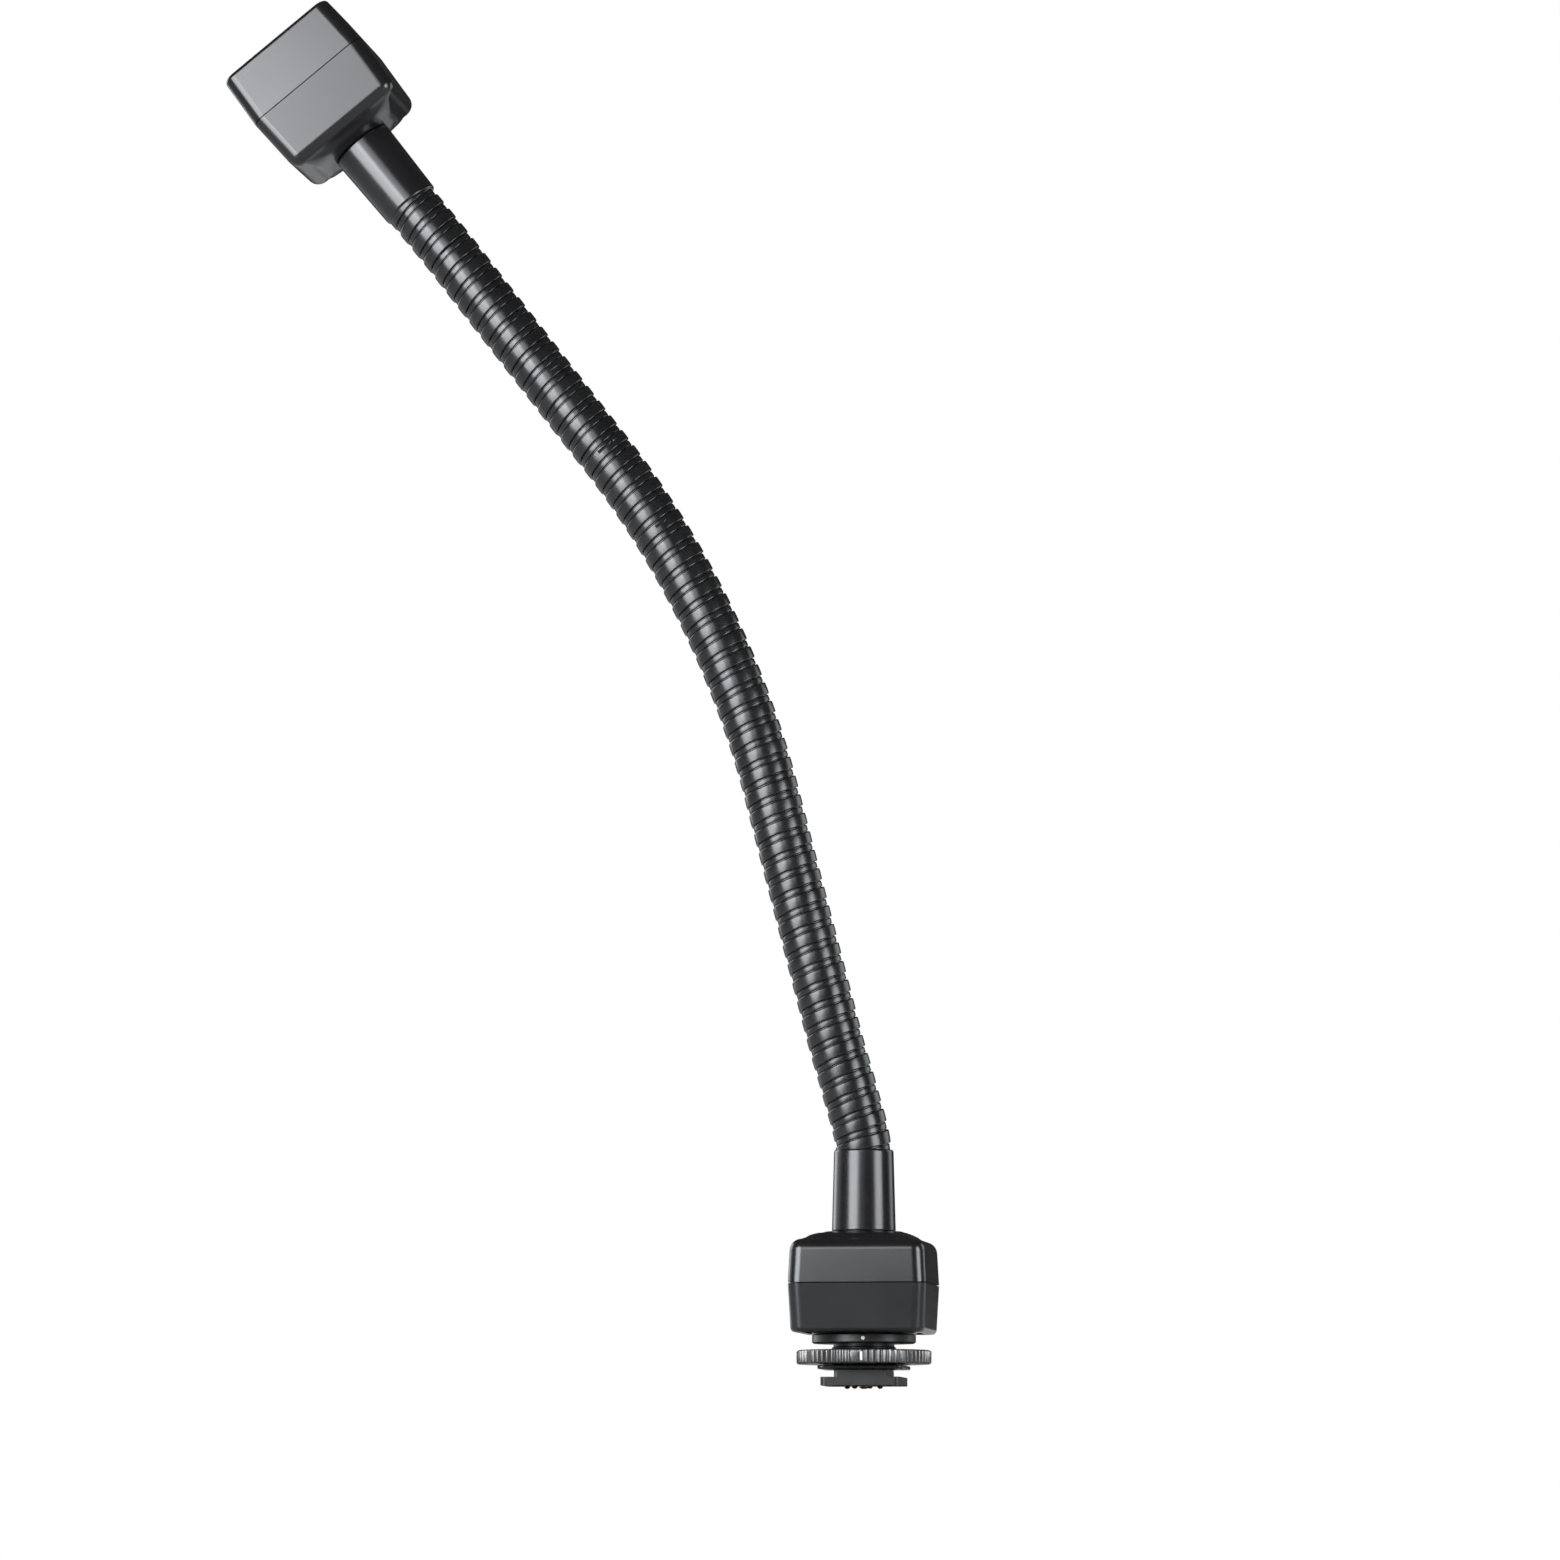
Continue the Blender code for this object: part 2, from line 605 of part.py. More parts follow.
def rib_radius(height):
    """The arm's outer radius at a height measured along the rib's helix."""
    share = (height / RIB_PITCH) % 1.0
    depth = RIB_CREST_RADIUS - RIB_VALLEY_RADIUS
    if share <= RIB_CREST_SHARE:
        return RIB_CREST_RADIUS
    if share <= RIB_VALLEY_SHARE:
        return RIB_CREST_RADIUS - depth * (share - RIB_CREST_SHARE) / (RIB_VALLEY_SHARE - RIB_CREST_SHARE)
    return RIB_VALLEY_RADIUS + depth * (share - RIB_VALLEY_SHARE) / (1.0 - RIB_VALLEY_SHARE)


def rib_rows(low, high, start):
    """Rows of one right-handed helical rib between two heights.

    start is the length of the arm below height 0, so the rib runs on from link to link.
    """
    breaks = (0.0, RIB_CREST_SHARE, RIB_VALLEY_SHARE)
    first = math.floor((low + start) / RIB_PITCH) - 1
    last = math.ceil((high + start) / RIB_PITCH) + 1
    rows = []
    for turn in range(first, last):
        for share in breaks:
            row = []
            for i in range(LINK_SIDES + 1):
                climb = RIB_PITCH * i / LINK_SIDES
                height = (turn + share) * RIB_PITCH - start + climb
                height = min(max(height, low), high)
                radius = rib_radius(height + start - climb)
                angle = TURN * i / LINK_SIDES
                row.append((radius * math.cos(angle), radius * math.sin(angle), height))
            if not rows or row != rows[-1]:
                rows.append(row)
    return rows


def nose_profile():
    """The nose that turns in the socket below, from its bore to its neck, about height 0."""
    return (
        (LINK_BORE_RADIUS, -NOSE_END_DEPTH),
        (NOSE_END_RADIUS, -NOSE_END_DEPTH),
        (NOSE_RADIUS, -NOSE_BELT),
        (NOSE_RADIUS, NOSE_SHOULDER),
    )


def socket_profile(centre, lip):
    """The socket about a joint at the height centre, from its lip to the bore."""
    return (
        (SOCKET_RADIUS, lip),
        (SOCKET_RADIUS, centre - SOCKET_WALL_DEPTH),
        (SOCKET_CONE_RADIUS, centre - SOCKET_CONE_DEPTH),
        (LINK_BORE_RADIUS, centre - SOCKET_FLOOR_DEPTH),
    )


def rows_of(profile):
    return [ring_row(radius, height, LINK_SIDES) for radius, height in profile]


def link_mesh(name, start):
    """A link from the joint at height 0 to the joint at height LINK_LENGTH."""
    rows = rows_of(nose_profile())
    lip = LINK_LENGTH + SOCKET_LIP
    rows += rib_rows(NOSE_SHOULDER, lip, start)
    rows += rows_of(socket_profile(LINK_LENGTH, lip))
    return skin(name, rows, loop=True)


def lower_end_mesh():
    """The arm's fixed end in the lower ferrule, with the first socket. Height 0 is the mouth."""
    rows = rows_of(((LINK_BORE_RADIUS, -SPIGOT_LENGTH), (SPIGOT_RADIUS, -SPIGOT_LENGTH)))
    rows += rows_of(((SPIGOT_RADIUS, SEAT_GAP),))
    lip = FIRST_JOINT_HEIGHT - FIRST_LIP_DROP
    rows += rib_rows(SEAT_GAP, lip, 0)
    rows += rows_of(socket_profile(FIRST_JOINT_HEIGHT, lip))
    return skin("gooseneck_lower_end", rows, loop=True)


def upper_end_mesh(start):
    """The arm's fixed end in the upper ferrule, with the last nose at height 0."""
    mouth = LAST_STRETCH
    rows = rows_of(nose_profile())
    rows += rib_rows(NOSE_SHOULDER, mouth - SEAT_GAP, start)
    rows += rows_of(((SPIGOT_RADIUS, mouth - SEAT_GAP), (SPIGOT_RADIUS, mouth + SPIGOT_LENGTH)))
    rows += rows_of(((LINK_BORE_RADIUS, mouth + SPIGOT_LENGTH),))
    return skin("gooseneck_upper_end", rows, loop=True)


def link_lean(number, length):
    """How far a link leans, from its number and the length of arm below its middle."""
    if number < len(FIRST_LEANS):
        return FIRST_LEANS[number]
    share = min(max((length - BEND_START) / BEND_LENGTH, 0.0), 1.0)
    return LOW_LEAN + (TOP_LEAN - LOW_LEAN) * share


def arm_places():
    """The joints' places, and the lean of the link above each. The last lean is the head's."""
    place = Vector((0, 0, MOUTH_Z + FIRST_JOINT_HEIGHT))
    places, leans = [place.copy()], []
    for number in range(LINK_COUNT):
        length = FIRST_JOINT_HEIGHT + LINK_LENGTH * (number + 0.5)
        lean = link_lean(number, length)
        place = place + LINK_LENGTH * Vector((-math.sin(lean), 0, math.cos(lean)))
        places.append(place.copy())
        leans.append(lean)
    return places, leans + [HEAD_LEAN]


def gooseneck(look):
    """The two fixed ends and the links between them."""
    places, leans = arm_places()
    add("gooseneck_lower_end", lower_end_mesh(), look, place=(0, 0, MOUTH_Z))
    meshes = [
        link_mesh(f"gooseneck_link_{side}", FIRST_JOINT_HEIGHT + LINK_LENGTH * side)
        for side in range(2)
    ]
    for number in range(LINK_COUNT):
        name = f"gooseneck_link_{number + 1:02d}"
        add(name, meshes[number % 2], look, place=places[number], lean=leans[number])
    start = FIRST_JOINT_HEIGHT + LINK_LENGTH * LINK_COUNT
    add("gooseneck_upper_end", upper_end_mesh(start), look, place=places[-1], lean=leans[-1])


def head_seat():
    """The place of the upper housing's ferrule seat."""
    place, lean = arm_places()[0][-1], HEAD_LEAN
    reach = LAST_STRETCH + FERRULE_LENGTH + SEAT_GAP
    return place + reach * Vector((-math.sin(lean), 0, math.cos(lean)))


def signal_cable(look):
    """The cable from board to board, through the bores of the ferrules and the arm."""
    places, _ = arm_places()
    up = Vector((-math.sin(HEAD_LEAN), 0, math.cos(HEAD_LEAN)))
    start = Vector((0, 0, SEAT_Z - LOWER_BOARD_HEIGHT + RUN_GAP))
    end = head_seat() + (UPPER_BOARD_HEIGHT - RUN_GAP) * up
    curve = bpy.data.curves.new("signal_cable", "CURVE")
    curve.dimensions = "3D"
    curve.bevel_depth = CABLE_RADIUS
    curve.bevel_resolution = 2
    curve.use_fill_caps = True
    points = [start, *places, end]
    line = curve.splines.new("POLY")
    line.points.add(len(points) - 1)
    for target, point in zip(line.points, points):
        target.co = (*point, 1.0)
    curve.materials.append(look)
    cable = bpy.data.objects.new("signal_cable", curve)
    bpy.context.collection.objects.link(cable)


def lower_unit(looks):
    """The camera's end: housing, foot, ring, boards and contacts."""
    unit = empty("lower_unit", (0, 0, SEAT_Z), TURN / 2)
    floor = LOWER_HEIGHT - HOUSING_WALL
    ferrule_shell(unit, "lower", LOWER_PARTING, True, looks["shell"])
    cover = cover_shell(
        unit, "lower", LOWER_PARTING, LOWER_HEIGHT, floor, LOWER_POST_LENGTH, True, looks["shell"]
    )
    stem_hole = rod(
        "stem_hole", STEM_RADIUS + RUN_GAP, floor - OVERRUN, LOWER_HEIGHT + OVERRUN, FINE_SIDES
    )
    apply_tools(cover, "DIFFERENCE", [stem_hole])
    housing_screws(unit, "lower", LOWER_PARTING, LOWER_HEIGHT, True, looks["steel"])
    ferrule(unit, "lower", looks["sleeve"])
    ferrule_nut(unit, "lower", looks["steel"])
    circuit_board(unit, "lower", LOWER_BOARD_HEIGHT, True, looks["board"])
    shoe_foot(looks["foot"])
    foot_contacts(looks["brass"])
    contact_carrier(looks["foot"])
    clamp_washer(looks["steel"])
    locking_ring(looks["ring"])
    stem_nut = hex_nut(
        "stem_nut",
        STEM_NUT_RADIUS,
        STEM_RADIUS + SEAT_GAP,
        STEM_NUT_Z,
        STEM_NUT_Z + STEM_NUT_HEIGHT,
    )
    add("stem_nut", stem_nut, looks["steel"])


def shoe_rails(unit, look):
    """The folded sheet that holds the flash's foot: base, sides, lips and front stop."""
    half = SLOT_WIDTH / 2
    base = POCKET_FLOOR + SEAT_GAP
    lip = SLOT_FLOOR + SLOT_HEIGHT
    outline = (
        (-half - RAIL_THICKNESS, base),
        (half + RAIL_THICKNESS, base),
        (half + RAIL_THICKNESS, lip + RAIL_THICKNESS),
        (SLOT_OPENING / 2, lip + RAIL_THICKNESS),
        (SLOT_OPENING / 2, lip),
        (half, lip),
        (half, SLOT_FLOOR),
        (-half, SLOT_FLOOR),
        (-half, lip),
        (-SLOT_OPENING / 2, lip),
        (-SLOT_OPENING / 2, lip + RAIL_THICKNESS),
        (-half - RAIL_THICKNESS, lip + RAIL_THICKNESS),
    )
    rows = [
        [(x, y, height) for x, height in outline + outline[:1]]
        for y in (-SLOT_LENGTH / 2, SLOT_LENGTH / 2)
    ]
    rails = add("shoe_rails", skin("shoe_rails", rows, capped=True), look, unit)
    stop_front = -SLOT_LENGTH / 2 + STOP_INSET
    stop_half = half + RAIL_THICKNESS / 2
    stop = block(
        "stop",
        (-stop_half, stop_front, base + RAIL_THICKNESS / 2),
        (stop_half, stop_front + STOP_THICKNESS, lip + RAIL_THICKNESS / 2),
    )
    apply_tools(rails, "UNION", [stop])
    half_window = PAD_WIDTH / 2 + SEAT_GAP
    window = block(
        "window",
        (-half_window, -half_window, base - OVERRUN),
        (half_window, half_window, SLOT_FLOOR + SLOT_HEIGHT / 2),
    )
    apply_tools(rails, "DIFFERENCE", [window])
    sink = turned(
        "screw_sink",
        (
            (RAIL_SCREW_RADIUS + SEAT_GAP, base - OVERRUN),
            (RAIL_SCREW_RADIUS + SEAT_GAP, SLOT_FLOOR - RAIL_THICKNESS / 2),
            (RAIL_SCREW_HEAD_RADIUS + SEAT_GAP, SLOT_FLOOR - RAIL_THICKNESS / 4),
            (RAIL_SCREW_HEAD_RADIUS + SEAT_GAP, SLOT_FLOOR + OVERRUN),
        ),
        SMALL_SIDES,
    )
    places = [(x, y, 0) for x, y in rail_screw_places()]
    apply_tools(rails, "DIFFERENCE", [sink] * len(places), places)


def rail_screw_places():
    return [(x, y) for x in (-RAIL_SCREW_X, RAIL_SCREW_X) for y in (-RAIL_SCREW_Y, RAIL_SCREW_Y)]


def rail_screws(unit, look):
    """Countersunk screws that hold the rails to the housing."""
    seat = SLOT_FLOOR - RAIL_THICKNESS / 2 + SEAT_GAP
    top = SLOT_FLOOR
    tip = top - RAIL_SCREW_LENGTH
    profile = (
        (RAIL_SCREW_RADIUS / 2, tip),
        (RAIL_SCREW_RADIUS, tip + RAIL_SCREW_RADIUS),
        (RAIL_SCREW_RADIUS, seat),
        (RAIL_SCREW_HEAD_RADIUS, (seat + top) / 2),
        (RAIL_SCREW_HEAD_RADIUS, top),
    )
    mesh = turned("rail_screw", profile, SMALL_SIDES)
    for number, (x, y) in enumerate(rail_screw_places(), 1):
        add(f"rail_screw_{number}", mesh, look, unit, (x, y, 0))


def contact_block(unit, look):
    """The insulating block with the socket's contacts, through the window in the rails."""
    low = POCKET_FLOOR + SEAT_GAP
    top = low + PAD_THICKNESS
    half = PAD_WIDTH / 2
    body = add("contact_block", block("pad", (-half, -half, low), (half, half, top)), look, unit)
    stub = rod("stub", BLOCK_RADIUS, ROOF - BLOCK_BELOW_ROOF, low + PAD_THICKNESS / 2)
    apply_tools(body, "UNION", [stub])
    for number, (x, y) in enumerate(contact_places()):
        head = (PAD_CENTRE_RADIUS if number == 0 else PAD_CONTACT_RADIUS) + SEAT_GAP
        shank = CONTACT_TAIL_RADIUS + SEAT_GAP
        seat = top - PAD_CONTACT_THICKNESS - SEAT_GAP
        profile = (
            (shank, ROOF - BLOCK_BELOW_ROOF - OVERRUN),
            (shank, seat),
            (head, seat),
            (head, top + OVERRUN),
        )
        hole = turned(f"contact_seat_{number}", profile, SMALL_SIDES)
        apply_tools(body, "DIFFERENCE", [hole], [(x, y, 0)])


def socket_contacts(unit, look):
    """Flat contacts in the block, with tails down to the board."""
    top = POCKET_FLOOR + SEAT_GAP + PAD_THICKNESS
    end = UPPER_BOARD_HEIGHT + BOARD_THICKNESS + RUN_GAP
    for number, (x, y) in enumerate(contact_places()):
        head = PAD_CENTRE_RADIUS if number == 0 else PAD_CONTACT_RADIUS
        profile = (
            (CONTACT_TAIL_RADIUS, end),
            (CONTACT_TAIL_RADIUS, top - PAD_CONTACT_THICKNESS),
            (head, top - PAD_CONTACT_THICKNESS),
            (head, top),
        )
        mesh = turned(f"socket_contact_{number + 1}", profile, SMALL_SIDES)
        add(f"socket_contact_{number + 1}", mesh, look, unit, (x, y, 0))


def shoe_spring(unit, look):
    """A bowed leaf spring: two arms in the rails, joined by a bar behind the stop."""
    outer = SLOT_WIDTH / 2 - RUN_GAP
    front = -SLOT_LENGTH / 2 + STOP_INSET + STOP_THICKNESS + RUN_GAP
    bar = front + SPRING_ARM
    back = SLOT_LENGTH / 2 - RUN_GAP
    low = SLOT_FLOOR + SEAT_GAP
    arms = []
    for side in (-1, 1):
        x_outer, x_inner = side * outer, side * (outer - SPRING_ARM)
        rows = []
        for step in range(SPRING_STEPS + 1):
            share = step / SPRING_STEPS
            y = front + (back - front) * share
            lift = low + SPRING_BOW * math.sin(TURN / 2 * share)
            corners = ((x_outer, lift), (x_inner, lift))
            corners += ((x_inner, lift + SPRING_THICKNESS), (x_outer, lift + SPRING_THICKNESS))
            rows.append([(x, y, height) for x, height in corners + corners[:1]])
        arms.append(skin(f"arm_{side + 1}", rows, capped=True))
    spring = add("shoe_spring", arms[0], look, unit)
    reach = outer - SPRING_ARM / 2
    cross = block("bar", (-reach, front, low), (reach, bar, low + SPRING_THICKNESS))
    apply_tools(spring, "UNION", [cross, arms[1]])


def upper_unit(looks):
    """The flash's end: housing, board, contacts, rails and spring."""
    unit = empty("upper_unit", head_seat(), HEAD_LEAN)
    ferrule_shell(unit, "upper", UPPER_PARTING, False, looks["shell"])
    cover = cover_shell(
        unit, "upper", UPPER_PARTING, UPPER_HEIGHT, ROOF, UPPER_POST_LENGTH, False, looks["shell"]
    )
    pocket_half = SLOT_WIDTH / 2 + RAIL_THICKNESS + RUN_GAP
    pocket = block(
        "pocket",
        (-pocket_half, -SLOT_LENGTH / 2 - RUN_GAP, POCKET_FLOOR),
        (pocket_half, HOUSING_DEPTH / 2 + OVERRUN, UPPER_HEIGHT + OVERRUN),
    )
    block_hole = rod("block_hole", BLOCK_RADIUS + RUN_GAP, ROOF - OVERRUN, POCKET_FLOOR + OVERRUN)
    apply_tools(cover, "DIFFERENCE", [pocket, block_hole])
    screw_end = SLOT_FLOOR - RAIL_SCREW_LENGTH - RUN_GAP
    boss_radius = RAIL_SCREW_RADIUS + RUN_GAP + BOSS_WALL
    boss = rod("rail_boss", boss_radius, screw_end - HOUSING_WALL / 2, ROOF + OVERRUN, SMALL_SIDES)
    hole = rod(
        "rail_hole", RAIL_SCREW_RADIUS + SEAT_GAP, screw_end, POCKET_FLOOR + OVERRUN, SMALL_SIDES
    )
    places = [(x, y, 0) for x, y in rail_screw_places()]
    apply_tools(cover, "UNION", [boss] * len(places), places)
    apply_tools(cover, "DIFFERENCE", [hole] * len(places), places)
    housing_screws(unit, "upper", UPPER_PARTING, UPPER_HEIGHT, False, looks["steel"])
    ferrule(unit, "upper", looks["sleeve"])
    ferrule_nut(unit, "upper", looks["steel"])
    circuit_board(unit, "upper", UPPER_BOARD_HEIGHT, False, looks["board"])
    contact_block(unit, looks["foot"])
    socket_contacts(unit, looks["brass"])
    shoe_rails(unit, looks["bright"])
    shoe_spring(unit, looks["bright"])
    rail_screws(unit, looks["steel"])


def main():
    start_scene()
    looks = {
        "shell": material("gloss_black_shell", (0.015, 0.015, 0.016), 0.28),
        "sleeve": material("satin_black_sleeve", (0.012, 0.012, 0.013), 0.3),
        "arm": material("satin_black_arm", (0.010, 0.010, 0.011), 0.35),
        "foot": material("matt_black_foot", (0.02, 0.02, 0.02), 0.5),
        "ring": material("black_ring", (0.018, 0.018, 0.018), 0.4),
        "steel": material("dark_steel", (0.30, 0.30, 0.31), 0.35, 1.0),
        "bright": material("bright_steel", (0.62, 0.62, 0.63), 0.25, 1.0),
        "brass": material("gold_plate", (0.83, 0.62, 0.28), 0.3, 1.0),
        "board": material("green_board", (0.02, 0.12, 0.05), 0.5),
        "cable": material("grey_cable", (0.05, 0.05, 0.05), 0.6),
    }
    lower_unit(looks)
    gooseneck(looks["arm"])
    signal_cable(looks["cable"])
    upper_unit(looks)


main()
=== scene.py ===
"""Gooseneck flash bracket, dressed for a studio picture.

Metres, +Z up, the front faces -Y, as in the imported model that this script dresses. Each end of
the bracket is modelled upright in its own frame, with the sleeve's seat at height 0 and the
heights running into the housing, and is then turned to its place.
"""

import json
import math

import bmesh
import bpy
from mathutils import Matrix, Vector


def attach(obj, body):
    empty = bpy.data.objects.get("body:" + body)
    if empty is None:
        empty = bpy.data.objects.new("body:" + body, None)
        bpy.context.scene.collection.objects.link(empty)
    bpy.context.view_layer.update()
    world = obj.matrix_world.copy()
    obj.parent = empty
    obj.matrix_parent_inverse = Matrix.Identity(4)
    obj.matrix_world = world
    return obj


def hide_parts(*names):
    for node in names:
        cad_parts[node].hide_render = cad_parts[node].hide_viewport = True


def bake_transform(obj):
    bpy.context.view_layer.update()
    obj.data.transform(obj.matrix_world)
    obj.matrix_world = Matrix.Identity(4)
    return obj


MM = 0.001
DEGREE = math.pi / 180
TURN = 2 * math.pi
WELD = 0.002 * MM
SMALL = 0.02 * MM
OVERRUN = 1.0 * MM

# Camera, in metres
EYE = Vector((0.22407, -1.98509, -0.040))
AIM = Vector((-0.01967, 0.0, 0.14164))
LENS, SENSOR = 197.9, 36.0

# Housings
HOUSING_WIDTH = 32.3 * MM
HOUSING_DEPTH = 34.0 * MM
HOUSING_CORNER = 3.1 * MM
HOUSING_WALL = 2.0 * MM
HOUSING_DRAFT = math.tan(3.0 * DEGREE)
PARTING_GAP = 0.24 * MM
DOME_RISE = 2.0 * MM
DOME_EDGE = 2.6 * MM
DOME_SEAT = 9.0 * MM
DOME_SWELL = 0.3 * MM
COVER_EDGE = 1.0 * MM
CEILING = DOME_RISE + HOUSING_WALL
LOWER_HEIGHT, LOWER_PARTING = 23.6 * MM, 12.2 * MM
UPPER_HEIGHT, UPPER_PARTING = 29.6 * MM, 16.6 * MM
SCREW_INSET = 4.2 * MM
POST_INSET = 7.5 * MM
SEAT_Z = 35.8 * MM
HEAD_LEAN = 39.0 * DEGREE
HEAD_SEAT = Vector((-119.5638, 0.0, 293.9885)) * MM

# Sleeves and arm
SLEEVE_LENGTH = 18.9 * MM
SEAT_GAP = 0.2 * MM
PITCH = 4.5 * MM
TUBE_STEPS = 36
TUBE_BORE = 4.6 * MM
CABLE_RADIUS = 1.8 * MM
TUCKED = 6.0 * MM
BALL_RADIUS = 6.0 * MM

# Socket at the head
POCKET_FLOOR = 26.4 * MM
ROOF = 24.4 * MM
RAIL_BASE = 26.6 * MM
SLOT_FLOOR = 27.6 * MM
SLOT_HALF = 9.45 * MM
SLOT_LENGTH = 18.6 * MM
RAIL_SHEET = 1.0 * MM
LIP_UNDER = 29.8 * MM
OPENING_HALF = 6.3 * MM

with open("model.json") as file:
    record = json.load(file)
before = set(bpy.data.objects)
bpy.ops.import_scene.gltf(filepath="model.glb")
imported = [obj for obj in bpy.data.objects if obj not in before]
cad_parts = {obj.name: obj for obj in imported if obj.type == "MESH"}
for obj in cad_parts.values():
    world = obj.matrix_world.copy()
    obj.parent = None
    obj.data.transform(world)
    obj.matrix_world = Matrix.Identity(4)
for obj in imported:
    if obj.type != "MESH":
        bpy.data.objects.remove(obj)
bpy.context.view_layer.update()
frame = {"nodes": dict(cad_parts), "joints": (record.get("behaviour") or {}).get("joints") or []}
LOWER_UNIT = Matrix.Translation((0, 0, SEAT_Z)) @ Matrix.Rotation(TURN / 2, 4, "Y")
UPPER_UNIT = Matrix.Translation(HEAD_SEAT) @ Matrix.Rotation(-HEAD_LEAN, 4, "Y")
UPRIGHT = Matrix.Identity(4)


# Tools of the bench


def take(piece):
    """Makes a piece the only one that is selected."""
    bpy.ops.object.select_all(action="DESELECT")
    piece.select_set(True)
    bpy.context.view_layer.objects.active = piece


def open_mesh(piece):
    take(piece)
    bpy.ops.object.mode_set(mode="EDIT")


def close_mesh():
    bpy.ops.object.mode_set(mode="OBJECT")


def pick(kind, test):
    """In the open mesh, selects the faces, edges or vertices that pass a test."""
    bpy.ops.mesh.select_mode(type=kind)
    bpy.ops.mesh.select_all(action="DESELECT")
    mesh = bpy.context.edit_object.data
    shape = bmesh.from_edit_mesh(mesh)
    for item in {"VERT": shape.verts, "EDGE": shape.edges, "FACE": shape.faces}[kind]:
        if test(item):
            item.select_set(True)
    shape.select_flush_mode()
    bmesh.update_edit_mesh(mesh)


def at_height(height, reach=SMALL):
    """A test for edges that lie at one height."""
    return lambda edge: all(abs(v.co.z - height) < reach for v in edge.verts)


def facing(height, up):
    """A test for the flat face at a height that looks up (1) or down (-1)."""
    return lambda face: (
        abs(face.calc_center_median().z - height) < SMALL and face.normal.z * up > 0.9
    )


def upright(edge):
    low, high = (v.co for v in edge.verts)
    return (low.xy - high.xy).length < 1.5 * MM and abs(low.z - high.z) > SMALL


def weld():
    bpy.ops.mesh.select_all(action="SELECT")
    bpy.ops.mesh.remove_doubles(threshold=WELD)
    bpy.ops.mesh.normals_make_consistent(inside=False)


def modify(piece, kind, **settings):
    """Adds a modifier and applies it."""
    take(piece)
    bpy.ops.object.modifier_add(type=kind)
    step = piece.modifiers[-1]
    for name, value in settings.items():
        setattr(step, name, value)
    bpy.ops.object.modifier_apply(modifier=step.name)


def box(name, low, high):
    """A cube at its size and place."""
    bpy.ops.object.select_all(action="DESELECT")
    size = [b - a for a, b in zip(low, high)]
    centre = [(a + b) / 2 for a, b in zip(low, high)]
    bpy.ops.mesh.primitive_cube_add(size=1, location=centre, scale=size)
    piece = bpy.context.active_object
    piece.name = name
    bpy.ops.object.transform_apply(location=True, rotation=False, scale=True)
    return piece


def rod(name, radius, low, high, place=(0, 0), sides=32):
    """A round bar between two heights."""
    bpy.ops.object.select_all(action="DESELECT")
    bpy.ops.mesh.primitive_cylinder_add(
        vertices=sides, radius=radius, depth=high - low, location=(*place, (low + high) / 2)
    )
    piece = bpy.context.active_object
    piece.name = name
    bpy.ops.object.transform_apply(location=True, rotation=False, scale=False)
    return piece


def cut(piece, *tools, operation="DIFFERENCE"):
    """Cuts tools out of a piece, or joins them to it, and clears them away."""
    for tool in tools:
        modify(piece, "BOOLEAN", operation=operation, object=tool, solver="EXACT")
        bpy.data.objects.remove(tool)


def drawn(name, lines, closed=True):
    """Lines drawn from point to point by extruding, each open or closed in a loop."""
    made = []
    for points in lines:
        points = [Vector(p) for p in points]
        bpy.ops.object.select_all(action="DESELECT")
        bpy.ops.mesh.primitive_plane_add(size=MM, location=points[0])
        piece = bpy.context.active_object
        bpy.ops.object.transform_apply(location=True, rotation=False, scale=False)
        open_mesh(piece)
        bpy.ops.mesh.select_mode(type="VERT")
        bpy.ops.mesh.select_all(action="SELECT")
        bpy.ops.mesh.merge(type="CENTER")
        for start, end in zip(points, points[1:]):
            bpy.ops.mesh.extrude_vertices_move(TRANSFORM_OT_translate={"value": end - start})
        if closed:
            ends = (points[0], points[-1])
            pick("VERT", lambda v: any((v.co - end).length < WELD for end in ends))
            bpy.ops.mesh.edge_face_add()
        close_mesh()
        made.append(piece)
    take(made[0])
    for other in made[1:]:
        other.select_set(True)
    if made[1:]:
        bpy.ops.object.join()
    made[0].name = name
    return made[0]


def turned(name, profile, steps=64, closed=True):
    """A turned piece, spun round Z from (radius, height) points."""
    piece = drawn(name, [[(radius, 0, height) for radius, height in profile]], closed)
    open_mesh(piece)
    bpy.ops.mesh.select_all(action="SELECT")
    bpy.ops.mesh.spin(steps=steps, angle=TURN, center=(0, 0, 0), axis=(0, 0, 1))
    weld()
    close_mesh()
    return piece


def ease(piece, width, segments=2, angle=35):
    """Breaks the sharp edges of a piece."""
    modify(
        piece,
        "BEVEL",
        width=width,
        segments=segments,
        limit_method="ANGLE",
        angle_limit=angle * DEGREE,
        use_clamp_overlap=True,
    )


def move(piece, offset):
    take(piece)
    piece.location = offset
    bpy.ops.object.transform_apply(location=True, rotation=False, scale=False)


def join(name, *pieces):
    take(pieces[0])
    for other in pieces[1:]:
        other.select_set(True)
    bpy.ops.object.join()
    pieces[0].name = name
    return pieces[0]


def copy_of(piece, name):
    """A copy with its own mesh."""
    take(piece)
    bpy.ops.object.duplicate(linked=False)
    made = bpy.context.active_object
    made.name = name
    return made


